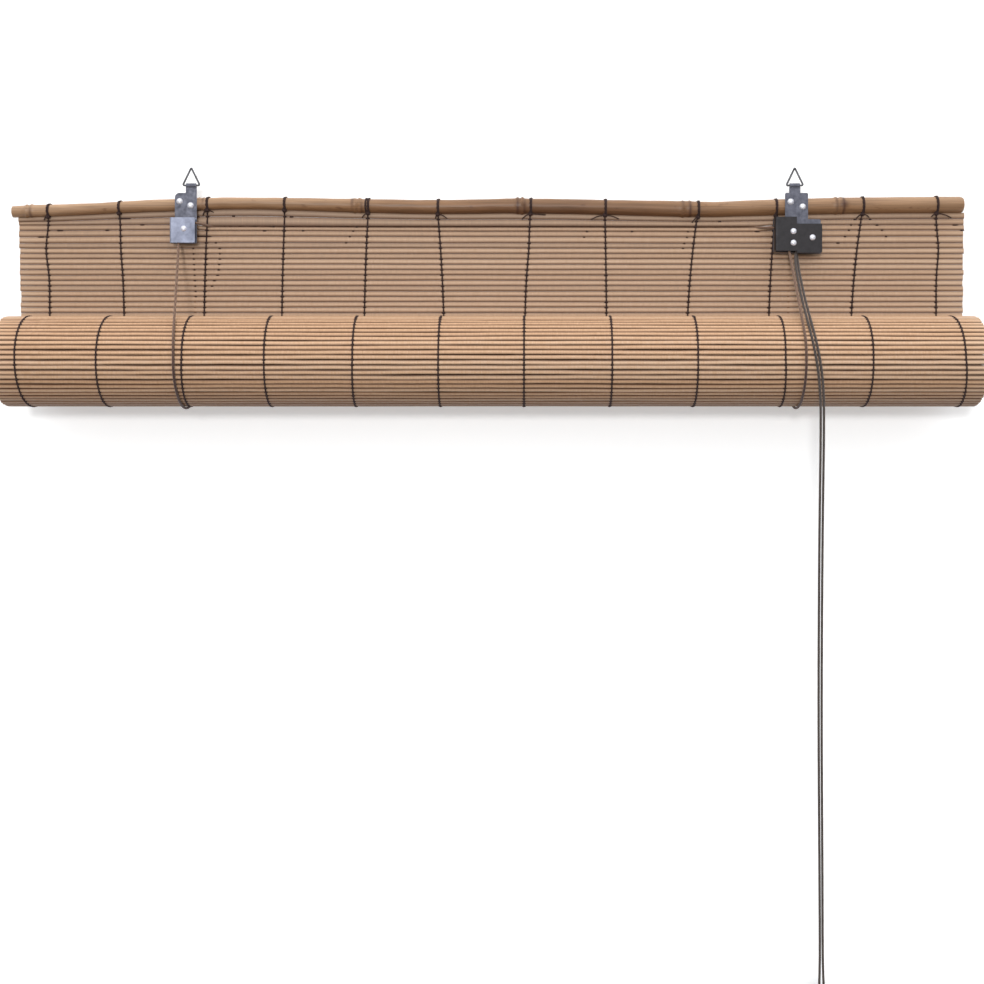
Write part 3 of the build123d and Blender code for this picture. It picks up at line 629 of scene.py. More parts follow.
coil_low = coil_centre.z - coil_mean_radius
tail_spread = 3.5
pull_cords = {}
for name, route, side in (("left", left_pull_route, 1), ("right", right_pull_route, -1)):
    tail_x = coil_centre.x + side * tail_spread
    tail = [(tail_x, coil_centre.y + side * 2.0, coil_low - 9.0),
            (tail_x, coil_centre.y, coil_low - 14.0), (tail_x, coil_centre.y, coil_low - 17.0)]
    piece = cord_curve(f"{name}_pull_cord_line", route + coil_points(side) + tail)
    dress(piece, pull_braid, "pull_cord", f"{name}_pull_cord")
    pull_cords[name] = piece
    print(name, "pull cord", round(length_of(piece), 3), "m")

# %% [markdown]
# Each cord ends in a knot that keeps it from slipping through the lock. A lumpy ball would do from
# afar. A real overhand knot is a trefoil pulled tight, and a trefoil has a simple formula: the curve
# winds through itself, and its round section makes the lumps. Three rings of cord tie the coil.

# %% Knots and the coil's tie
def overhand_knot(name, centre, size, radius, turned=0.0):
    """A trefoil of cord about a centre, as a mesh; size is its outer radius, in millimetres."""
    steps = 36
    loop = []
    for k in range(steps):
        t = 2 * math.pi * k / steps
        loop.append((math.sin(t) + 2 * math.sin(2 * t), math.cos(t) - 2 * math.cos(2 * t),
                     -1.1 * math.sin(3 * t)))
    # The widest points of the formula's curve are 3 from its middle
    scale = (size - radius) / 3
    spin = Matrix.Rotation(turned, 3, "Z") @ Matrix.Rotation(math.radians(90), 3, "X")
    route = [Vector(centre) + spin @ (Vector(p) * scale) for p in loop + loop[:2]]
    return as_mesh(cord_curve(name, route, radius, 2, 2))


for name, side in (("left", 1), ("right", -1)):
    centre = (coil_centre.x + side * tail_spread, coil_centre.y, coil_low - 17.6)
    knot = overhand_knot(f"{name}_pull_knot", centre, 2.9, 0.95, turned=side * 3.5)
    dress(knot, pull_braid, "pull_cord", f"{name}_end_knot")

tie_top = coil_centre + Vector((0, 0, coil_mean_radius))
tie_radius = 8.2
tie_thickness = 0.9
tie_spacing = 1.85
tie_lean = 0.05
tie_turns = []
for k in (-1, 0, 1):
    deselect()
    bpy.ops.mesh.primitive_torus_add(major_segments=40, minor_segments=10,
                                     major_radius=tie_radius * MM, minor_radius=tie_thickness * MM,
                                     location=(tie_top + Vector((k * tie_spacing, 0, 0))) * MM,
                                     rotation=(tie_lean * k, math.radians(90), 0))
    tie_turns.append(bpy.context.object)
coil_tie = join(tie_turns, "coil_tie_turns")
dress(coil_tie, pull_braid, "pull_cord", "coil_tie")
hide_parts("pull_cord_coil")

for name, exit_mm in (("left", left_pull_route[0]), ("right", right_pull_route[0])):
    round(length_of(pull_cords[name]), 2)

# %% [markdown]
# The lift cords are held taut by the roll that lies in them. Each starts at a knot on the back of
# the cane, goes down behind the mat, under the roll and up its front to the pulleys. The left one
# then crosses behind the mat to the lock. They are curves as well. Their points stand close where a
# cord turns sharply round a pulley, so that the smooth line stays in the groove, and far apart on
# the straight runs.

# %% Lift cords
right_lift_route = [
    (508.7, 15.0, -30.5), (508.6, 14.8, -36.0), (508.5, 8.9, -48.0), (508.0, 8.8, -112.0),
    (507.0, 8.8, -163.0), (506.5, 8.8, -177.2), (505.8, -14.2, -200.2), (505.5, -46.6, -200.2),
    (505.5, -69.8, -177.4), (505.6, -70.2, -150.2), (505.6, -61.4, -135.8), (505.7, -7.2, -71.0),
    (504.75, -7.0, -65.5), (504.75, -7.0, -53.6),
    (504.75, -7.0, -48.35), (512.05, -7.0, -48.35), (512.05, -7.0, -53.6), (512.05, -7.0, -66.0)]
left_lift_route = [
    (-1.7, 13.9, -28.7), (-1.6, 13.7, -34.0), (-1.2, 8.9, -46.0), (0.8, 8.8, -112.0),
    (2.9, 8.8, -163.0), (3.5, 8.8, -177.2), (4.1, -14.2, -200.2), (4.3, -46.6, -200.2),
    (4.3, -69.8, -177.4), (4.2, -70.2, -150.2), (2.2, -61.2, -135.6), (-9.2, -5.6, -64.4),
    (-9.8, -4.0, -56.0), (-9.8, -4.0, -51.0), (-9.8, -4.0, -44.3), (-2.0, -4.0, -44.3),
    (7.0, -4.0, -44.3), (11.0, 2.4, -45.6), (17.0, 8.4, -46.0), (30.0, 9.9, -46.0),
    (444.0, 9.9, -46.0), (470.0, 9.2, -46.3), (480.0, 6.8, -46.8), (489.0, 1.0, -47.7),
    (499.0, -3.4, -48.3), (507.0, -3.4, -48.35), (512.05, -3.4, -48.35), (512.05, -3.4, -53.6),
    (512.05, -3.4, -66.0)]
for name, route in (("left", left_lift_route), ("right", right_lift_route)):
    piece = cord_curve(f"{name}_lift_cord_line", route, smoothness=8)
    dress(piece, lift_braid, "cord", f"{name}_lift_cord")
    print(name, "lift cord", round(length_of(piece), 3), "m")
for name, centre in (("left", (-1.7, 13.6, -26.8)), ("right", (508.7, 14.9, -28.6))):
    knot = overhand_knot(f"{name}_anchor_loop", centre, 2.5, 0.85)
    dress(knot, lift_braid, "cord", f"{name}_anchor_knot")

# %% [markdown]
# The wire eyes. Each was bent from a short wire to a triangle with round corners, and its lower bar
# turns in the hem of a strap. Bending a cylinder would flatten it at the corners. A closed curve
# with a round section doesn't: two points near each corner keep the runs between them straight.
# The eyes turn, so each rides on a body of its own.

# %% Wire eyes
eye_spacing = 511.5
wire_radius = 0.8
eye_top, eye_bar = 2.95, -12.1
half_bar = 7.3
# How far from its corner each bend begins: at the top, and at both ends of the bar
bend_reach = (2.6, 3.6, 3.6)
for name, x, body in (("left", 0.0, "left_ring"), ("right", eye_spacing, "right_ring")):
    corners = [Vector((x, 0, eye_top)), Vector((x + half_bar, 0, eye_bar)),
               Vector((x - half_bar, 0, eye_bar))]
    loop = []
    for k, (corner, reach) in enumerate(zip(corners, bend_reach)):
        before = (corners[k - 1] - corner).normalized() * reach
        after = (corners[(k + 1) % 3] - corner).normalized() * reach
        loop += [corner + before, corner, corner + after]
    eye = cord_curve(f"{name}_wire_eye", loop, wire_radius, 3, 8)
    eye.data.splines[0].use_endpoint_u = False
    eye.data.splines[0].use_cyclic_u = True
    dress(as_mesh(eye), finishes["wire_eye"], "wire_eye", f"{name}_ring", body=body)

# %% [markdown]
# The cane is one grown stem, a little crooked, with a knot at each joint of the plant. It could be
# sculpted by hand. Here a cylinder with many rings is bent and swelled ring by ring, which can be
# repeated and corrected: the outline is a few stations from end to end, each with the height of its
# upper and lower side, and each knot adds two thin ridges with a groove between them. The front side
# stays straight where the straps are nailed to it.

# %% Cane
# The straps are 1 mm sheet about the plane y = 0, and the cane lies against their back
sheet_half = 0.5
# x, top and underside
cane_outline = [
    (-153.0, -28.9, -38.6), (-136.0, -28.0, -38.0), (-110.0, -27.2, -37.2), (-83.0, -26.2, -35.9),
    (-40.0, -23.7, -33.8), (25.0, -21.3, -31.6), (54.0, -21.6, -31.4), (97.0, -21.9, -32.7),
    (135.0, -22.4, -34.3), (192.0, -23.5, -35.5), (230.0, -23.1, -35.6), (268.0, -22.2, -35.1),
    (320.0, -22.6, -35.6), (373.0, -23.7, -37.0), (420.0, -24.4, -38.1), (443.0, -25.0, -38.2),
    (481.0, -23.4, -37.2), (553.0, -21.2, -35.6), (606.0, -20.9, -35.0), (658.0, -20.3, -34.8)]
# x, height of the ridges and half the distance between them
knots = ((-139.0, 0.7, 1.6), (7.6, 0.6, 1.6), (140.0, 0.8, 2.2), (279.0, 1.3, 1.7),
         (420.0, 0.8, 2.2), (550.0, 0.7, 2.0))


def cane_section(x):
    """Height of the middle and radius of the cane at x, without its knots, in millimetres."""
    at = [row[0] for row in cane_outline]
    top = np.interp(x, at, [row[1] for row in cane_outline])
    low = np.interp(x, at, [row[2] for row in cane_outline])
    return (top + low) / 2, (top - low) / 2


def bell(distance, width):
    """1 at no distance, falling to 0 past the width."""
    return np.exp(-(distance / width) ** 2)


cane_start, cane_end = cane_outline[0][0], cane_outline[-1][0]
branch_x = 553.5
rounding = 4.0
cane = long_bar(40, 100, 3)
cane.name = cane.data.name = "head_cane"

# The left end was sawn through and is hollow: its face is inset, then pushed in
bpy.ops.object.mode_set(mode="EDIT")
bpy.ops.mesh.select_mode(type="FACE")
bpy.ops.mesh.select_all(action="DESELECT")
bpy.ops.object.mode_set(mode="OBJECT")
for face in cane.data.polygons:
    face.select = face.normal.x < -0.9
bpy.ops.object.mode_set(mode="EDIT")
# The bar is still 1 long with a radius of 1, so these are shares of its radius and length
bpy.ops.mesh.inset(thickness=0.55)
bpy.ops.mesh.extrude_region_move(TRANSFORM_OT_translate={"value": (0.015, 0, 0)})
bpy.ops.object.mode_set(mode="OBJECT")

points = points_of(cane)
along = cane_start + points[:, 0] * (cane_end - cane_start)
middle, radius = cane_section(along)
reach = radius.copy()
scar = np.zeros(len(points))
angle = np.arctan2(points[:, 2], points[:, 1])
for place, rise, half in knots:
    lean = 0.35 * np.cos(angle + place)
    off = along - place - lean
    from_ridge = np.abs(off) - half * 1.1
    # Two ridges, the groove between them, and the swelling of the stem on both sides
    reach += rise * bell(from_ridge, 0.9) - 0.2 * bell(off, 1.0)
    reach += 0.35 * rise * bell(off, 5.0)
    scar = np.maximum(scar, 0.9 * bell(from_ridge - 1.0, 0.7))
    scar = np.maximum(scar, 0.15 * bell(off, 3.5))
# The stem is never quite round
reach += 0.08 * np.sin(along / 17.0 + 2 * angle) + 0.05 * np.sin(along / 5.3 - 3 * angle)
# The stub of a branch on the front, at the last knot
branch = np.exp(-((along - branch_x) / 3.2) ** 2 - ((points[:, 2] - 0.1) / 0.45) ** 2)
branch *= points[:, 1] < 0
scar = np.maximum(scar, branch)
reach += 0.5 * branch
round_end = np.clip((along - (cane_end - rounding)) / rounding, 0, 1)
reach *= np.sqrt(np.clip(1 - round_end ** 2, 0.02, 1))
centre_y = sheet_half + radius
move_points(cane, np.column_stack((along, centre_y + points[:, 1] * reach,
                                   middle + points[:, 2] * reach)) * MM)
paint(cane, "scar", scar)
# The cane was dried over a fire: it is paler at its left and darkest about the middle.
# Its upper side is painted paler and its underside darker: painted shade.
tone_at = [-153, 0, 60, 120, 170, 280, 330, 420, 480, 560, 658]
tones = [0.80, 0.74, 0.78, 0.60, 0.36, 0.34, 0.32, 0.44, 0.62, 0.60, 0.64]
paint(cane, "tone", np.interp(along, tone_at, tones) + 0.16 * points[:, 2])
dress(cane, cane_skin, "cane", "head_pole")
print("cane from", cane_start, "to", cane_end, "mm")

# %% [markdown]
# The mat is a row of split reeds, none quite straight. An Array modifier would make them all alike.
# Instead one reed is modelled, a long bar with rings of vertices, and each copy is moved into its
# own place between two gap lines. Both neighbours of a gap read the same wandering line, so their
# thin edges just touch along it. The top lines follow the crooked cane.

# %% Lines between the reeds
mat_left, mat_right = -146.0, 654.0
mat_y = 6.5
half_reed = 1.0
edge_overlap = 0.05
# Between the hangers the cross cord runs behind this gap and holds it open
cord_gap = 1
cord_gap_from, cord_gap_to = 3.0, 495.0
cord_gap_widening = 0.47
# Heights of the gap lines: the first reeds differ, the rest are alike
reed_count = 27
reed_pitch = 4.58
gap_levels = [-39.3]
for height in (7.1, 3.7, 4.8, 5.3):
    gap_levels.append(gap_levels[-1] - height)
while len(gap_levels) < reed_count:
    gap_levels.append(gap_levels[-1] - reed_pitch)
# How much of the cane's crookedness each of the first lines has, and how far it lies higher
# beyond the cross cord
follow_cane = (0.7, 0.08, 0.12, 0.12, 0.08)
outside_lift = (0.0, 1.6, 0.8, 0.3)
straight_level = -34.3


def wander(x, seed, size):
    """A slow, repeatable wave along the blind, in millimetres."""
    draw = random.Random(seed)
    total = np.zeros_like(np.asarray(x, float))
    for length in (520.0, 230.0, 97.0, 41.0):
        total += math.sqrt(length / 520) * np.sin(2 * math.pi * (x / length + draw.random()))
    return size * total / 2


def gap_line(k, x):
    """Height of gap line k at x; line -1 is the underside of the cane."""
    middle, radius = cane_section(x)
    under = middle - radius
    if k < 0:
        return under + 0.5
    level = gap_levels[k] + wander(x, 100 + k, 0.05 if k == cord_gap else 0.18)
    if k < len(follow_cane):
        level = level + follow_cane[k] * (under - straight_level)
    if k < len(outside_lift):
        level = level + outside_lift[k] * (1 - between_hangers(x))
    return level


def between_hangers(x):
    """1 where the cross cord runs behind the mat, 0 beyond it."""
    near = np.clip((x - cord_gap_from) / 12.0, 0, 1)
    return near * np.clip((cord_gap_to - x) / 12.0, 0, 1)


print(reed_count, "reeds between", gap_line(-1, 0.0).round(1), "and", gap_levels[-1], "mm")

# %% [markdown]
# Every reed gets two numbers on each vertex. Its tone says how pale it is. The second says how far
# the vertex lies from the middle of the reed's face, where the dark split side begins; it is raised
# at each reed's lower edge and on the reeds of the roll that face down, as painted shade. Both could
# be drawn by hand as textures, but numbers cost nothing and follow each reed.

# %% Tones and hanging reeds
# A reed's upper edge is painted less dark than its lower edge: painted shade
upper_rim = 0.75
# The ends are cut with shears, up to this much too long or too short
ragged = 0.5


def cane_shadow(k):
    """The first reeds under the cane are painted darker, as painted shadow of the cane."""
    return {0: 0.9, 1: 0.8, 2: 0.25}.get(k, 0.0)


def painted_light_and_pale_ends(x):
    """Painted light: reeds are a little paler towards the right. They are also paler at both cut
    ends.
    """
    ends = np.exp(-((x - mat_left) / 14) ** 2) + np.exp(-((x - mat_right) / 14) ** 2)
    return 0.14 * (x - 254.0) / 400.0 + 0.4 * ends


def underside_shade(k):
    """How much painted shade darkens a reed: on the roll, on reeds that face down."""
    if isinstance(k, int):
        return 0.0
    i, place, count = k
    down = math.sin(math.pi * ((place + 0.5) / count + i % 2))
    return 0.72 * min(1.0, max(0.0, (down - 0.5) / 0.45))


def reed_copies(base, places, section, ends, seed):
    """Copies of the base bar; section(k, x, y, z) gives each its place, ends(k) its length."""
    made = []
    draw = random.Random(seed)
    rows = points_of(base)
    for k in places:
        left, right = ends(k)
        start = left + draw.uniform(-ragged, ragged)
        end = right + draw.uniform(-ragged, ragged)
        x = start + rows[:, 0] * (end - start)
        y, z = section(k, x, rows[:, 1], rows[:, 2])
        twin = copy_of(base, np.column_stack((x, y, z)) * MM)
        # The first reeds are painted darker: painted shadow of the cane
        paint(twin, "tone", draw.random() - cane_shadow(k) + painted_light_and_pale_ends(x))
        # Painted shade: a reed's lower edge is darker than its upper edge
        rim_and_shade = np.where(rows[:, 2] > 0, upper_rim, 1.0) * abs(rows[:, 2])
        # Reeds of the roll that face down are painted darker: painted shade
        paint(twin, "rim_and_shade", np.maximum(rim_and_shade, 0.20 + 0.70 * underside_shade(k)))
        made.append(twin)
    return made


def hanging_ends(k):
    """The top reeds are a little longer than the rest."""
    share = max(0.0, 1 - k / 18)
    return mat_left - 0.4 - 2.2 * share, mat_right + 1.6 + 1.4 * share


def hanging_section(k, x, y, z):
    """A reed between gap line k - 1 and gap line k, a little uneven in thickness and place."""
    room = cord_gap_widening * between_hangers(x)
    top = gap_line(k - 1, x) + edge_overlap - (k - 1 == cord_gap) * room
    low = gap_line(k, x) - edge_overlap + (k == cord_gap) * room
    thick = half_reed * (1 + 0.12 * wander(x, 500 + k, 1.0))
    return mat_y + y * thick + wander(x, 700 + k, 0.10), (top + low) / 2 + z * (top - low) / 2


reed = long_bar(10, 63)
# A power below 1 makes the round section fuller, with blunter edges
lens = points_of(reed)
lens[:, 1] = np.sign(lens[:, 1]) * abs(lens[:, 1]) ** 0.8
move_points(reed, lens)
mat = join(reed_copies(reed, range(reed_count), hanging_section, hanging_ends, 21), "hanging_mat")
dress(mat, hanging_reed, "hanging_reed", "hanging_reeds")
print(len(mat.data.polygons), "faces in the hanging mat")

# %% [markdown]
# The roll is the same mat, wound up from below. A cylinder with a reed pattern would look flat at
# its ends, where the turns show. So each reed lies on a spiral, drawn as half turns about two
# centres, each half turn a little smaller than the one before. The outer turns have full reeds. Only
# the ends of the inner ones show, so those are plain bars with few faces.

# %% Rolled reeds
roll_radius = 38.6
layer_pitch = 2.9
half_turns = 22
roll_y, roll_z = -31.1, -160.96
rolled_pitch = 4.1
# Each reed of the roll fills its place at this depth, less this much on either side
fitted_depth = 0.9
half_gap = 0.18


def turn_radius(i):
    """Outer radius of half turn i, counted inwards from the hanging mat."""
    return roll_radius - layer_pitch / 4 - i * layer_pitch / 2


def reeds_on_turn(i):
    """How many reeds lie on half turn i."""
    return round(math.pi * turn_radius(i) / rolled_pitch)


def on_turn(i, radius, share):
    """Place (y, z) at a share of the way round half turn i."""
    angle = -math.pi * (share + i % 2)
    side = 1 if i % 2 == 0 else -1
    return (roll_y + side * layer_pitch / 4 + radius * np.cos(angle),
            roll_z + radius * np.sin(angle), angle)


rolled_places = []
for i in range(half_turns):
    rolled_places += [(i, k, reeds_on_turn(i)) for k in range(reeds_on_turn(i))]


def rolled_ends(place):
    """The reeds of the roll end a little inside the ends of the hanging mat."""
    return mat_left + 4.3, mat_right - 2.2


def rolled_section(place, x, y, z):
    """A reed at its place on the spiral: y points out of the roll, z round it."""
    i, k, count = place
    seed = 1000 * i + k
    share = (k + 0.5) / count + wander(x, seed, 0.0035)
    cy, cz, angle = on_turn(i, turn_radius(i) - half_reed, share)
    cy = cy + wander(x, seed + 7, 0.10) * np.cos(angle)
    cz = cz + wander(x, seed + 7, 0.10) * np.sin(angle)
    half = math.pi * (turn_radius(i) - fitted_depth) / count / 2 - half_gap
    out, along = -y * half_reed, z * half
    return (cy + out * np.cos(angle) - along * np.sin(angle),
            cz + out * np.sin(angle) + along * np.cos(angle))


outer = [p for p in rolled_places if p[0] < 2]
inner = [p for p in rolled_places if p[0] >= 2]
rolled = reed_copies(reed, outer, rolled_section, rolled_ends, 22)
plain_reed = long_bar(8)
rolled += reed_copies(plain_reed, inner, rolled_section, rolled_ends, 23)
roll = join(rolled, "rolled_mat")
dress(roll, rolled_reed, "rolled_reed", "rolled_reeds")
print(len(rolled), "reeds in the roll,", len(roll.data.polygons), "faces")
for spare in (reed, plain_reed):
    bpy.data.objects.remove(spare)

# %% [markdown]
# Each binding string is two thin strands that cross at every gap between reeds, with a knot there.
# It goes up the front of the mat, over the cane, down the back and round the roll. Every string is
# wound round the cane twice, one three times, and most leave cut ends there, like whiskers. A net of
# alike strings would look woven by a machine, so the numbers of each come first, in tables: where it
# hangs, how it strays and bows, and which loose tails show.

# %% Places of the strings
string_places = (-122.4, -58.7, 8.9, 75.2, 145.5, 214.0, 282.4, 352.4, 420.8, 490.4, 560.4, 633.6)
# How far each string strays from its place: at the cane, the foot of the mat, and the roll's top,
# front and underside
string_stray = (
    (-0.4, 0.5, -1.5, 0.3, 1.3), (-3.7, 0.4, 0.9, 1.1, 0.3), (3.6, 0.4, 0.8, 1.5, -1.1),
    (3.0, 0.3, -0.3, 0.5, -0.3), (3.7, 0.2, -0.1, 0.3, -1.4), (-5.5, 0.1, 0.1, -0.1, -0.6),
    (5.0, 0.1, -0.2, -0.4, -0.4), (-1.5, 0.0, 0.1, -0.4, -0.1), (9.2, -0.2, -0.1, -0.7, -0.1),
    (5.8, -0.3, 0.4, -0.9, 1.8), (9.6, -0.4, -0.1, -1.3, -0.1), (-0.7, -0.5, -1.5, -1.1, 4.8))
# Wraps on the cane, besides the one that is part of the string: how far aside each lies, and how
# many a string has, where that isn't one
wrap_shifts = (1.25, -1.35)
extra_wraps = {5: 2}
# Some bow sideways half way down the mat
string_bow = {1: -2.6, 2: -0.8, 7: 0.8, 12: 2.0}
# Whiskers at the cane: how far each reaches sideways and down
whiskers = {1: ((-4, -3),), 3: ((5, -2), (-4, -5)), 5: ((-5, -4),), 6: ((8, -4), (-2, -4)),
            7: ((13, -0.8), (-7, -5)), 8: ((-12, -4), (12, -3.5)), 9: ((-5, -5),), 10: ((4, -4),),
            11: ((6, -3), (-5, -4)), 12: ((13, -4), (-4, -3))}
# Tails that lie behind the mat and show as dark dots in its gaps: how far they are from the foot
# of the string, in which gap, and half their length
glimpses = {
    1: ((-7, 3, 3.2), (9, 2, 3.0)),
    2: ((1, 0, 5.0), (15.5, 1, 2.0), (-14.5, 2, 1.8)),
    3: [(-8.8 + 0.26 * n, 5 + n, 0.9) for n in range(10)]
       + [(10.5, 4, 1.0), (13.9, 5, 1.4), (14.0, 6, 1.0), (13.9, 7, 1.3), (13.5, 8, 1.2),
          (13.0, 9, 1.3), (12.0, 10, 1.5), (9.3, 11, 1.4), (7.3, 12, 1.2), (0.5, 3, 7.0),
          (-5, 0, 2.0), (25.6, 0, 1.6)],
    4: ((8.7, 0, 1.8), (18.6, 2, 1.3), (-6.6, 1, 1.0), (-14.2, 2, 1.8)),
    5: ((-6, 1, 1.2), (-9, 2, 1.0), (-12, 3, 1.0), (-15, 4, 1.0)),
    8: ((-16.7, 2, 1.2), (-19.2, 3, 1.0), (21.7, 2, 1.2)),
    9: ((1.0, 2, 0.8), (0.1, 3, 0.9), (-2.1, 4, 1.0), (-3.2, 5, 1.0), (28, 0, 1.5), (60, 2, 2.4)),
    11: ((3.8, 0, 1.5), (0.4, 1, 1.0), (-1.4, 2, 1.0), (-4.7, 3, 1.2), (-10.7, 4, 1.6),
         (16.6, 0, 1.4), (22.5, 1, 1.4), (26.8, 2, 1.2), (30.2, 3, 1.0)),
    12: ((22, 2, 2.0), (16, 1, 2.5)),
}

# %% [markdown]
# The way of a string could be drawn point by point, but it has more than two hundred points, and
# there are twelve strings. All the points follow from what is known: the gap lines, the cane's
# section and the spiral. At a gap the string dips in, over a reed it stands out by its thickness.

# %% Way of a string
strand = 0.42
over_reed = strand + 0.12
gap_dip = 0.25
roll_dip = 0.35
# From the foot of the mat a string runs straight, then bends towards its place at the cane
foot_level, run_height = -160, 125
bow_level, bow_height = -66, 17
front_gaps = 25


def mat_run(x, sideways, face, side):
    """Stations down one face of the mat; side is -1 for the front and 1 for the back."""
    run = []
    for k in range(front_gaps if side < 0 else reed_count):
        gap = float(gap_line(k, x))
        below = float(gap_line(k + 1, x)) if k < reed_count - 1 else gap - 3
        run.append((sideways(gap), face - side * gap_dip, gap, True))
        mid = (gap + below) / 2
        if k < front_gaps - 1 or side > 0:
            run.append((sideways(mid), face + side * over_reed, mid, False))
    return run


def string_stations(number, x, stray):
    """Places (x, y, z, is a gap) along a string, from the nip up the front and round to the nip."""
    at_cane, at_foot, at_top, at_front, at_low = stray
    middle, radius = cane_section(x + at_cane)

    def sideways(z):
        share = np.clip((z - foot_level) / run_height, 0, 1) ** 2
        bow = string_bow.get(number, 0) * math.exp(-((z - bow_level) / bow_height) ** 2)
        return x + at_foot + share * (at_cane - at_foot) + bow

    stations = mat_run(x, sideways, mat_y - half_reed, -1)[::-1]
    cy = sheet_half + radius
    reach = radius + strand + 0.1
    # Over the cane, from low on its front to low on its back
    for degree in range(215, -50, -15):
        a = math.radians(degree)
        stations.append((x + at_cane, cy + reach * math.cos(a), middle + reach * math.sin(a), False))
    stations += mat_run(x, sideways, mat_y + half_reed, 1)[:-1]
    # Round the roll: the first half turn, and the second up to the nip with the hanging mat
    sidesteps = (at_low, at_low, at_front, at_top, at_top)
    for i, last in ((0, 1.0), (1, 0.9)):
        count = reeds_on_turn(i)
        for k in range(count):
            if k / count > last:
                break
            whole = i + k / count
            drift = np.interp(whole, (0, 0.5, 1.0, 1.5, 2.0), sidesteps)
            y, z, _ = on_turn(i, turn_radius(i) - roll_dip, k / count)
            stations.append((x + drift, y, z, True))
            y, z, _ = on_turn(i, turn_radius(i) + over_reed, (k + 0.5) / count)
            stations.append((x + drift, y, z, False))
    return stations


# %% [markdown]
# The knots at the gaps are tiny and there are more than a thousand of them, so one lumpy ball with
# few faces is modelled and copied, each copy a little larger or smaller. The strands, wraps and
# whiskers are curves turned into meshes, so that all of a string can be joined to one piece.

# %% Binding strings
mat_bead = (1.55, 0.85, 0.95)
roll_bead = (1.4, 0.9, 0.92)
cane_knot = (2.0, 1.3, 1.9)
# Knots nearer to the viewer than this are on the roll
roll_side = 4.6


def knot_bead():
    """A small lumpy ball, modelled once, for the knot at each gap."""
    deselect()
    bpy.ops.mesh.primitive_ico_sphere_add(subdivisions=2, radius=1)
    bead = bpy.context.object
    rows = points_of(bead)
    lumps = 1 + 0.18 * np.sin(5 * rows[:, 0] + 1) * np.cos(4 * rows[:, 2])
    move_points(bead, rows * lumps[:, None])
    return bead


bead = knot_bead()
bead_rows = points_of(bead)
for number, (x, stray) in enumerate(zip(string_places, string_stray), start=1):
    draw = random.Random(40 + number)
    stations = string_stations(number, x, stray)
    pieces = []
    # Two strands: they lie apart over a reed, come together at a gap and change sides there
    for side in (-1, 1):
        spread = [side * (0.12 if gap else 0.45) * (1 if n % 4 < 2 else -1)
                  for n, (_, _, _, gap) in enumerate(stations)]
        route = [(px + s, py, pz) for (px, py, pz, _), s in zip(stations, spread)]
        pieces.append(as_mesh(cord_curve("strand", route, strand, 1, 2)))
    middle, radius = cane_section(x + stray[0])
    cy = sheet_half + radius
    for shift in wrap_shifts[:extra_wraps.get(number, 1)]:
        # A full round of 24 steps, and two more to overlap its start
        wrap = []
        for k in range(24 + 2):
            a = 2 * math.pi * k / 24
            wrap.append((x + stray[0] + shift + 0.5 * math.cos(a),
                         cy + (radius + 0.45) * math.cos(a), middle + (radius + 0.45) * math.sin(a)))
        pieces.append(as_mesh(cord_curve("wrap", wrap, strand + 0.33, 1, 2)))
    foot = (x + stray[0], cy - radius * 0.55, middle - radius - 0.35)
    for reach_x, reach_z in whiskers.get(number, ()):
        tip = (foot[0] + reach_x, mat_y - half_reed - 0.3, foot[2] + reach_z * 0.9)
        bend = (foot[0] + reach_x * 0.5, foot[1] - 0.6, foot[2] - 0.2)
        pieces.append(as_mesh(cord_curve("whisker", [foot, bend, tip], 0.46, 1, 4)))
    for place in [station[:3] for station in stations if station[3]] + [foot]:
        size = np.array(mat_bead if place[1] > roll_side else roll_bead) * draw.uniform(0.85, 1.15)
        pieces.append(copy_of(bead, (bead_rows * size + place) * MM))
    pieces.append(copy_of(bead, (bead_rows * cane_knot + foot) * MM))
    for away, gap, half in glimpses.get(number, ()):
        spot = (x + away, mat_y - half_reed + 0.35, float(gap_line(gap, x + away)))
        pieces.append(copy_of(bead, (bead_rows * (half, 0.6, 0.72) + spot) * MM))
    whole = join(pieces, f"knotted_string_{number:02d}")
    dress(whole, twine, "binding_string", f"binding_string_{number:02d}")
bpy.data.objects.remove(bead)

# %% [markdown]
# The blind hangs flat on a white wall. More light would make the wall white, but it would bleach the
# reeds too. So the lamps stay at a plain level, and Light Path lifts wall and floor for the camera
# only: they are clean and pale, and still darker where the roll shades them. Both are seen from one
# side, so they hide nothing in views from behind or below. The lamps shine through them, and the
# lamp behind the wall only lights the back.

# %% Wall and floor
def backdrop(name, paint_colour, lift):
    """Matt pale paint, lifted for the camera. From behind, and to shadow rays, it is clear."""
    material, tree, shader, place = new_material(name)
    shader.inputs["Base Color"].default_value = (*paint_colour, 1)
    shader.inputs["Roughness"].default_value = 0.9
    shader.inputs["Specular IOR Level"].default_value = 0.1
    path = tree.nodes.new("ShaderNodeLightPath")
    seen = calc(tree, "MAXIMUM", path.outputs["Is Camera Ray"], path.outputs["Is Glossy Ray"])
    glow = put(tree, "ShaderNodeEmission", Color=(1, 1, 1, 1),
               Strength=calc(tree, "MULTIPLY", seen, lift))
    last = put(tree, "ShaderNodeAddShader", i0=shader.outputs[0], i1=glow.outputs[0])
    behind = tree.nodes.new("ShaderNodeNewGeometry").outputs["Backfacing"]
    hidden = calc(tree, "MAXIMUM", behind, path.outputs["Is Shadow Ray"])
    clear = tree.nodes.new("ShaderNodeBsdfTransparent")
    last = put(tree, "ShaderNodeMixShader", i0=hidden, i1=last.outputs[0], i2=clear.outputs[0])
    tree.links.new(last.outputs[0], tree.nodes["Material Output"].inputs["Surface"])
    return material


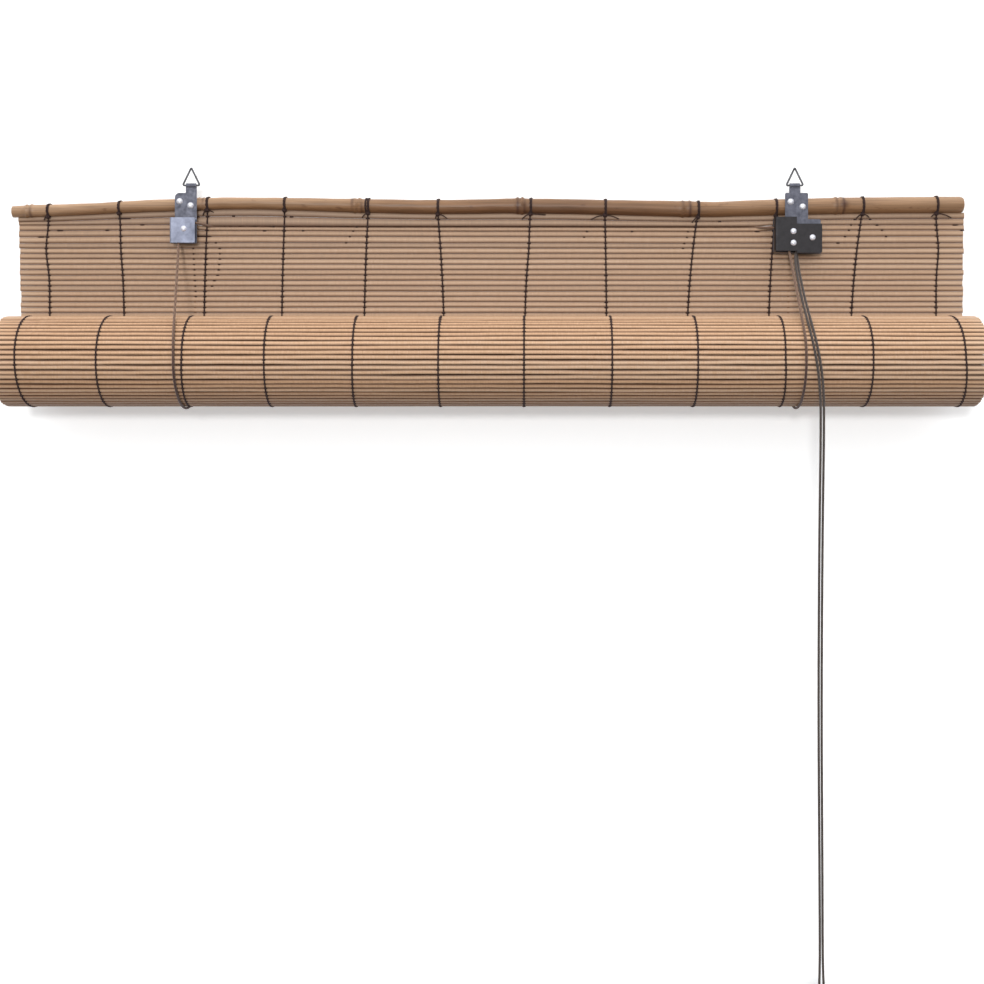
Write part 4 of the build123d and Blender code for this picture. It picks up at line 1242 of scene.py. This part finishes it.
def stage_plane(name, place, turn, material):
    """A large plane that isn't part of the object."""
    deselect()
    bpy.ops.mesh.primitive_plane_add(size=6, location=place, rotation=(math.radians(turn), 0, 0))
    plane = bpy.context.object
    bpy.ops.object.transform_apply(location=True, rotation=True, scale=True)
    plane.name = name
    plane.data.materials.append(material)


stage_plane("wall", (0.25, 0.020, 0), 90, backdrop("wall_paint", (0.85, 0.85, 0.85), 0.37))
# The floor's own paint is dark, so that it throws little light up at the roll, and lifted more
stage_plane("floor", (0.25, 0, -0.80), 0, backdrop("floor_paint", (0.16, 0.16, 0.16), 0.62))
print("wall 20 mm behind the straps, floor 0.8 m below the eyes")

# %% [markdown]
# The light of the photograph is soft and comes from the front, a little from above and from the
# left. A point lamp would draw a hard shadow of each string, and a round area lamp a soft one. A
# weak second lamp lights the back. The room is brighter above than below, which shades the
# underside of the roll and of the cane.

# %% Lamps and room
def soft_lamp(place, target, size, watts):
    """A large soft lamp that looks at a place."""
    bpy.ops.object.light_add(type="AREA", location=place)
    lamp = bpy.context.object
    lamp.data.shape = "DISK"
    lamp.data.size = size
    lamp.data.energy = watts
    aim = Vector(target) - Vector(place)
    lamp.rotation_euler = aim.to_track_quat("-Z", "Y").to_euler()


soft_lamp((0.0, -2.9, 0.32), (0.25, 0, -0.15), 0.4, 35)
soft_lamp((0.5, 1.9, 0.9), (0.25, 0, -0.2), 1.5, 15)

world = bpy.data.worlds.new("pale_room")
scene.world = world
world.use_nodes = True
room = world.node_tree
direction = put(room, "ShaderNodeSeparateXYZ",
                Vector=room.nodes.new("ShaderNodeTexCoord").outputs["Generated"])
upward = put(room, "ShaderNodeMapRange", {"interpolation_type": "SMOOTHSTEP"},
             Value=direction.outputs[2], i1=-0.40, i2=0.95, i3=0.0, i4=1.8)
background = room.nodes["Background"]
background.inputs["Color"].default_value = (0.97, 0.985, 1.0, 1)
# The camera sees an even pale room instead
to_camera = room.nodes.new("ShaderNodeLightPath").outputs["Is Camera Ray"]
strength = put(room, "ShaderNodeMix", i0=to_camera, i2=upward.outputs[0], i3=0.95)
room.links.new(strength.outputs[0], background.inputs["Strength"])
print("two lamps and a pale room")
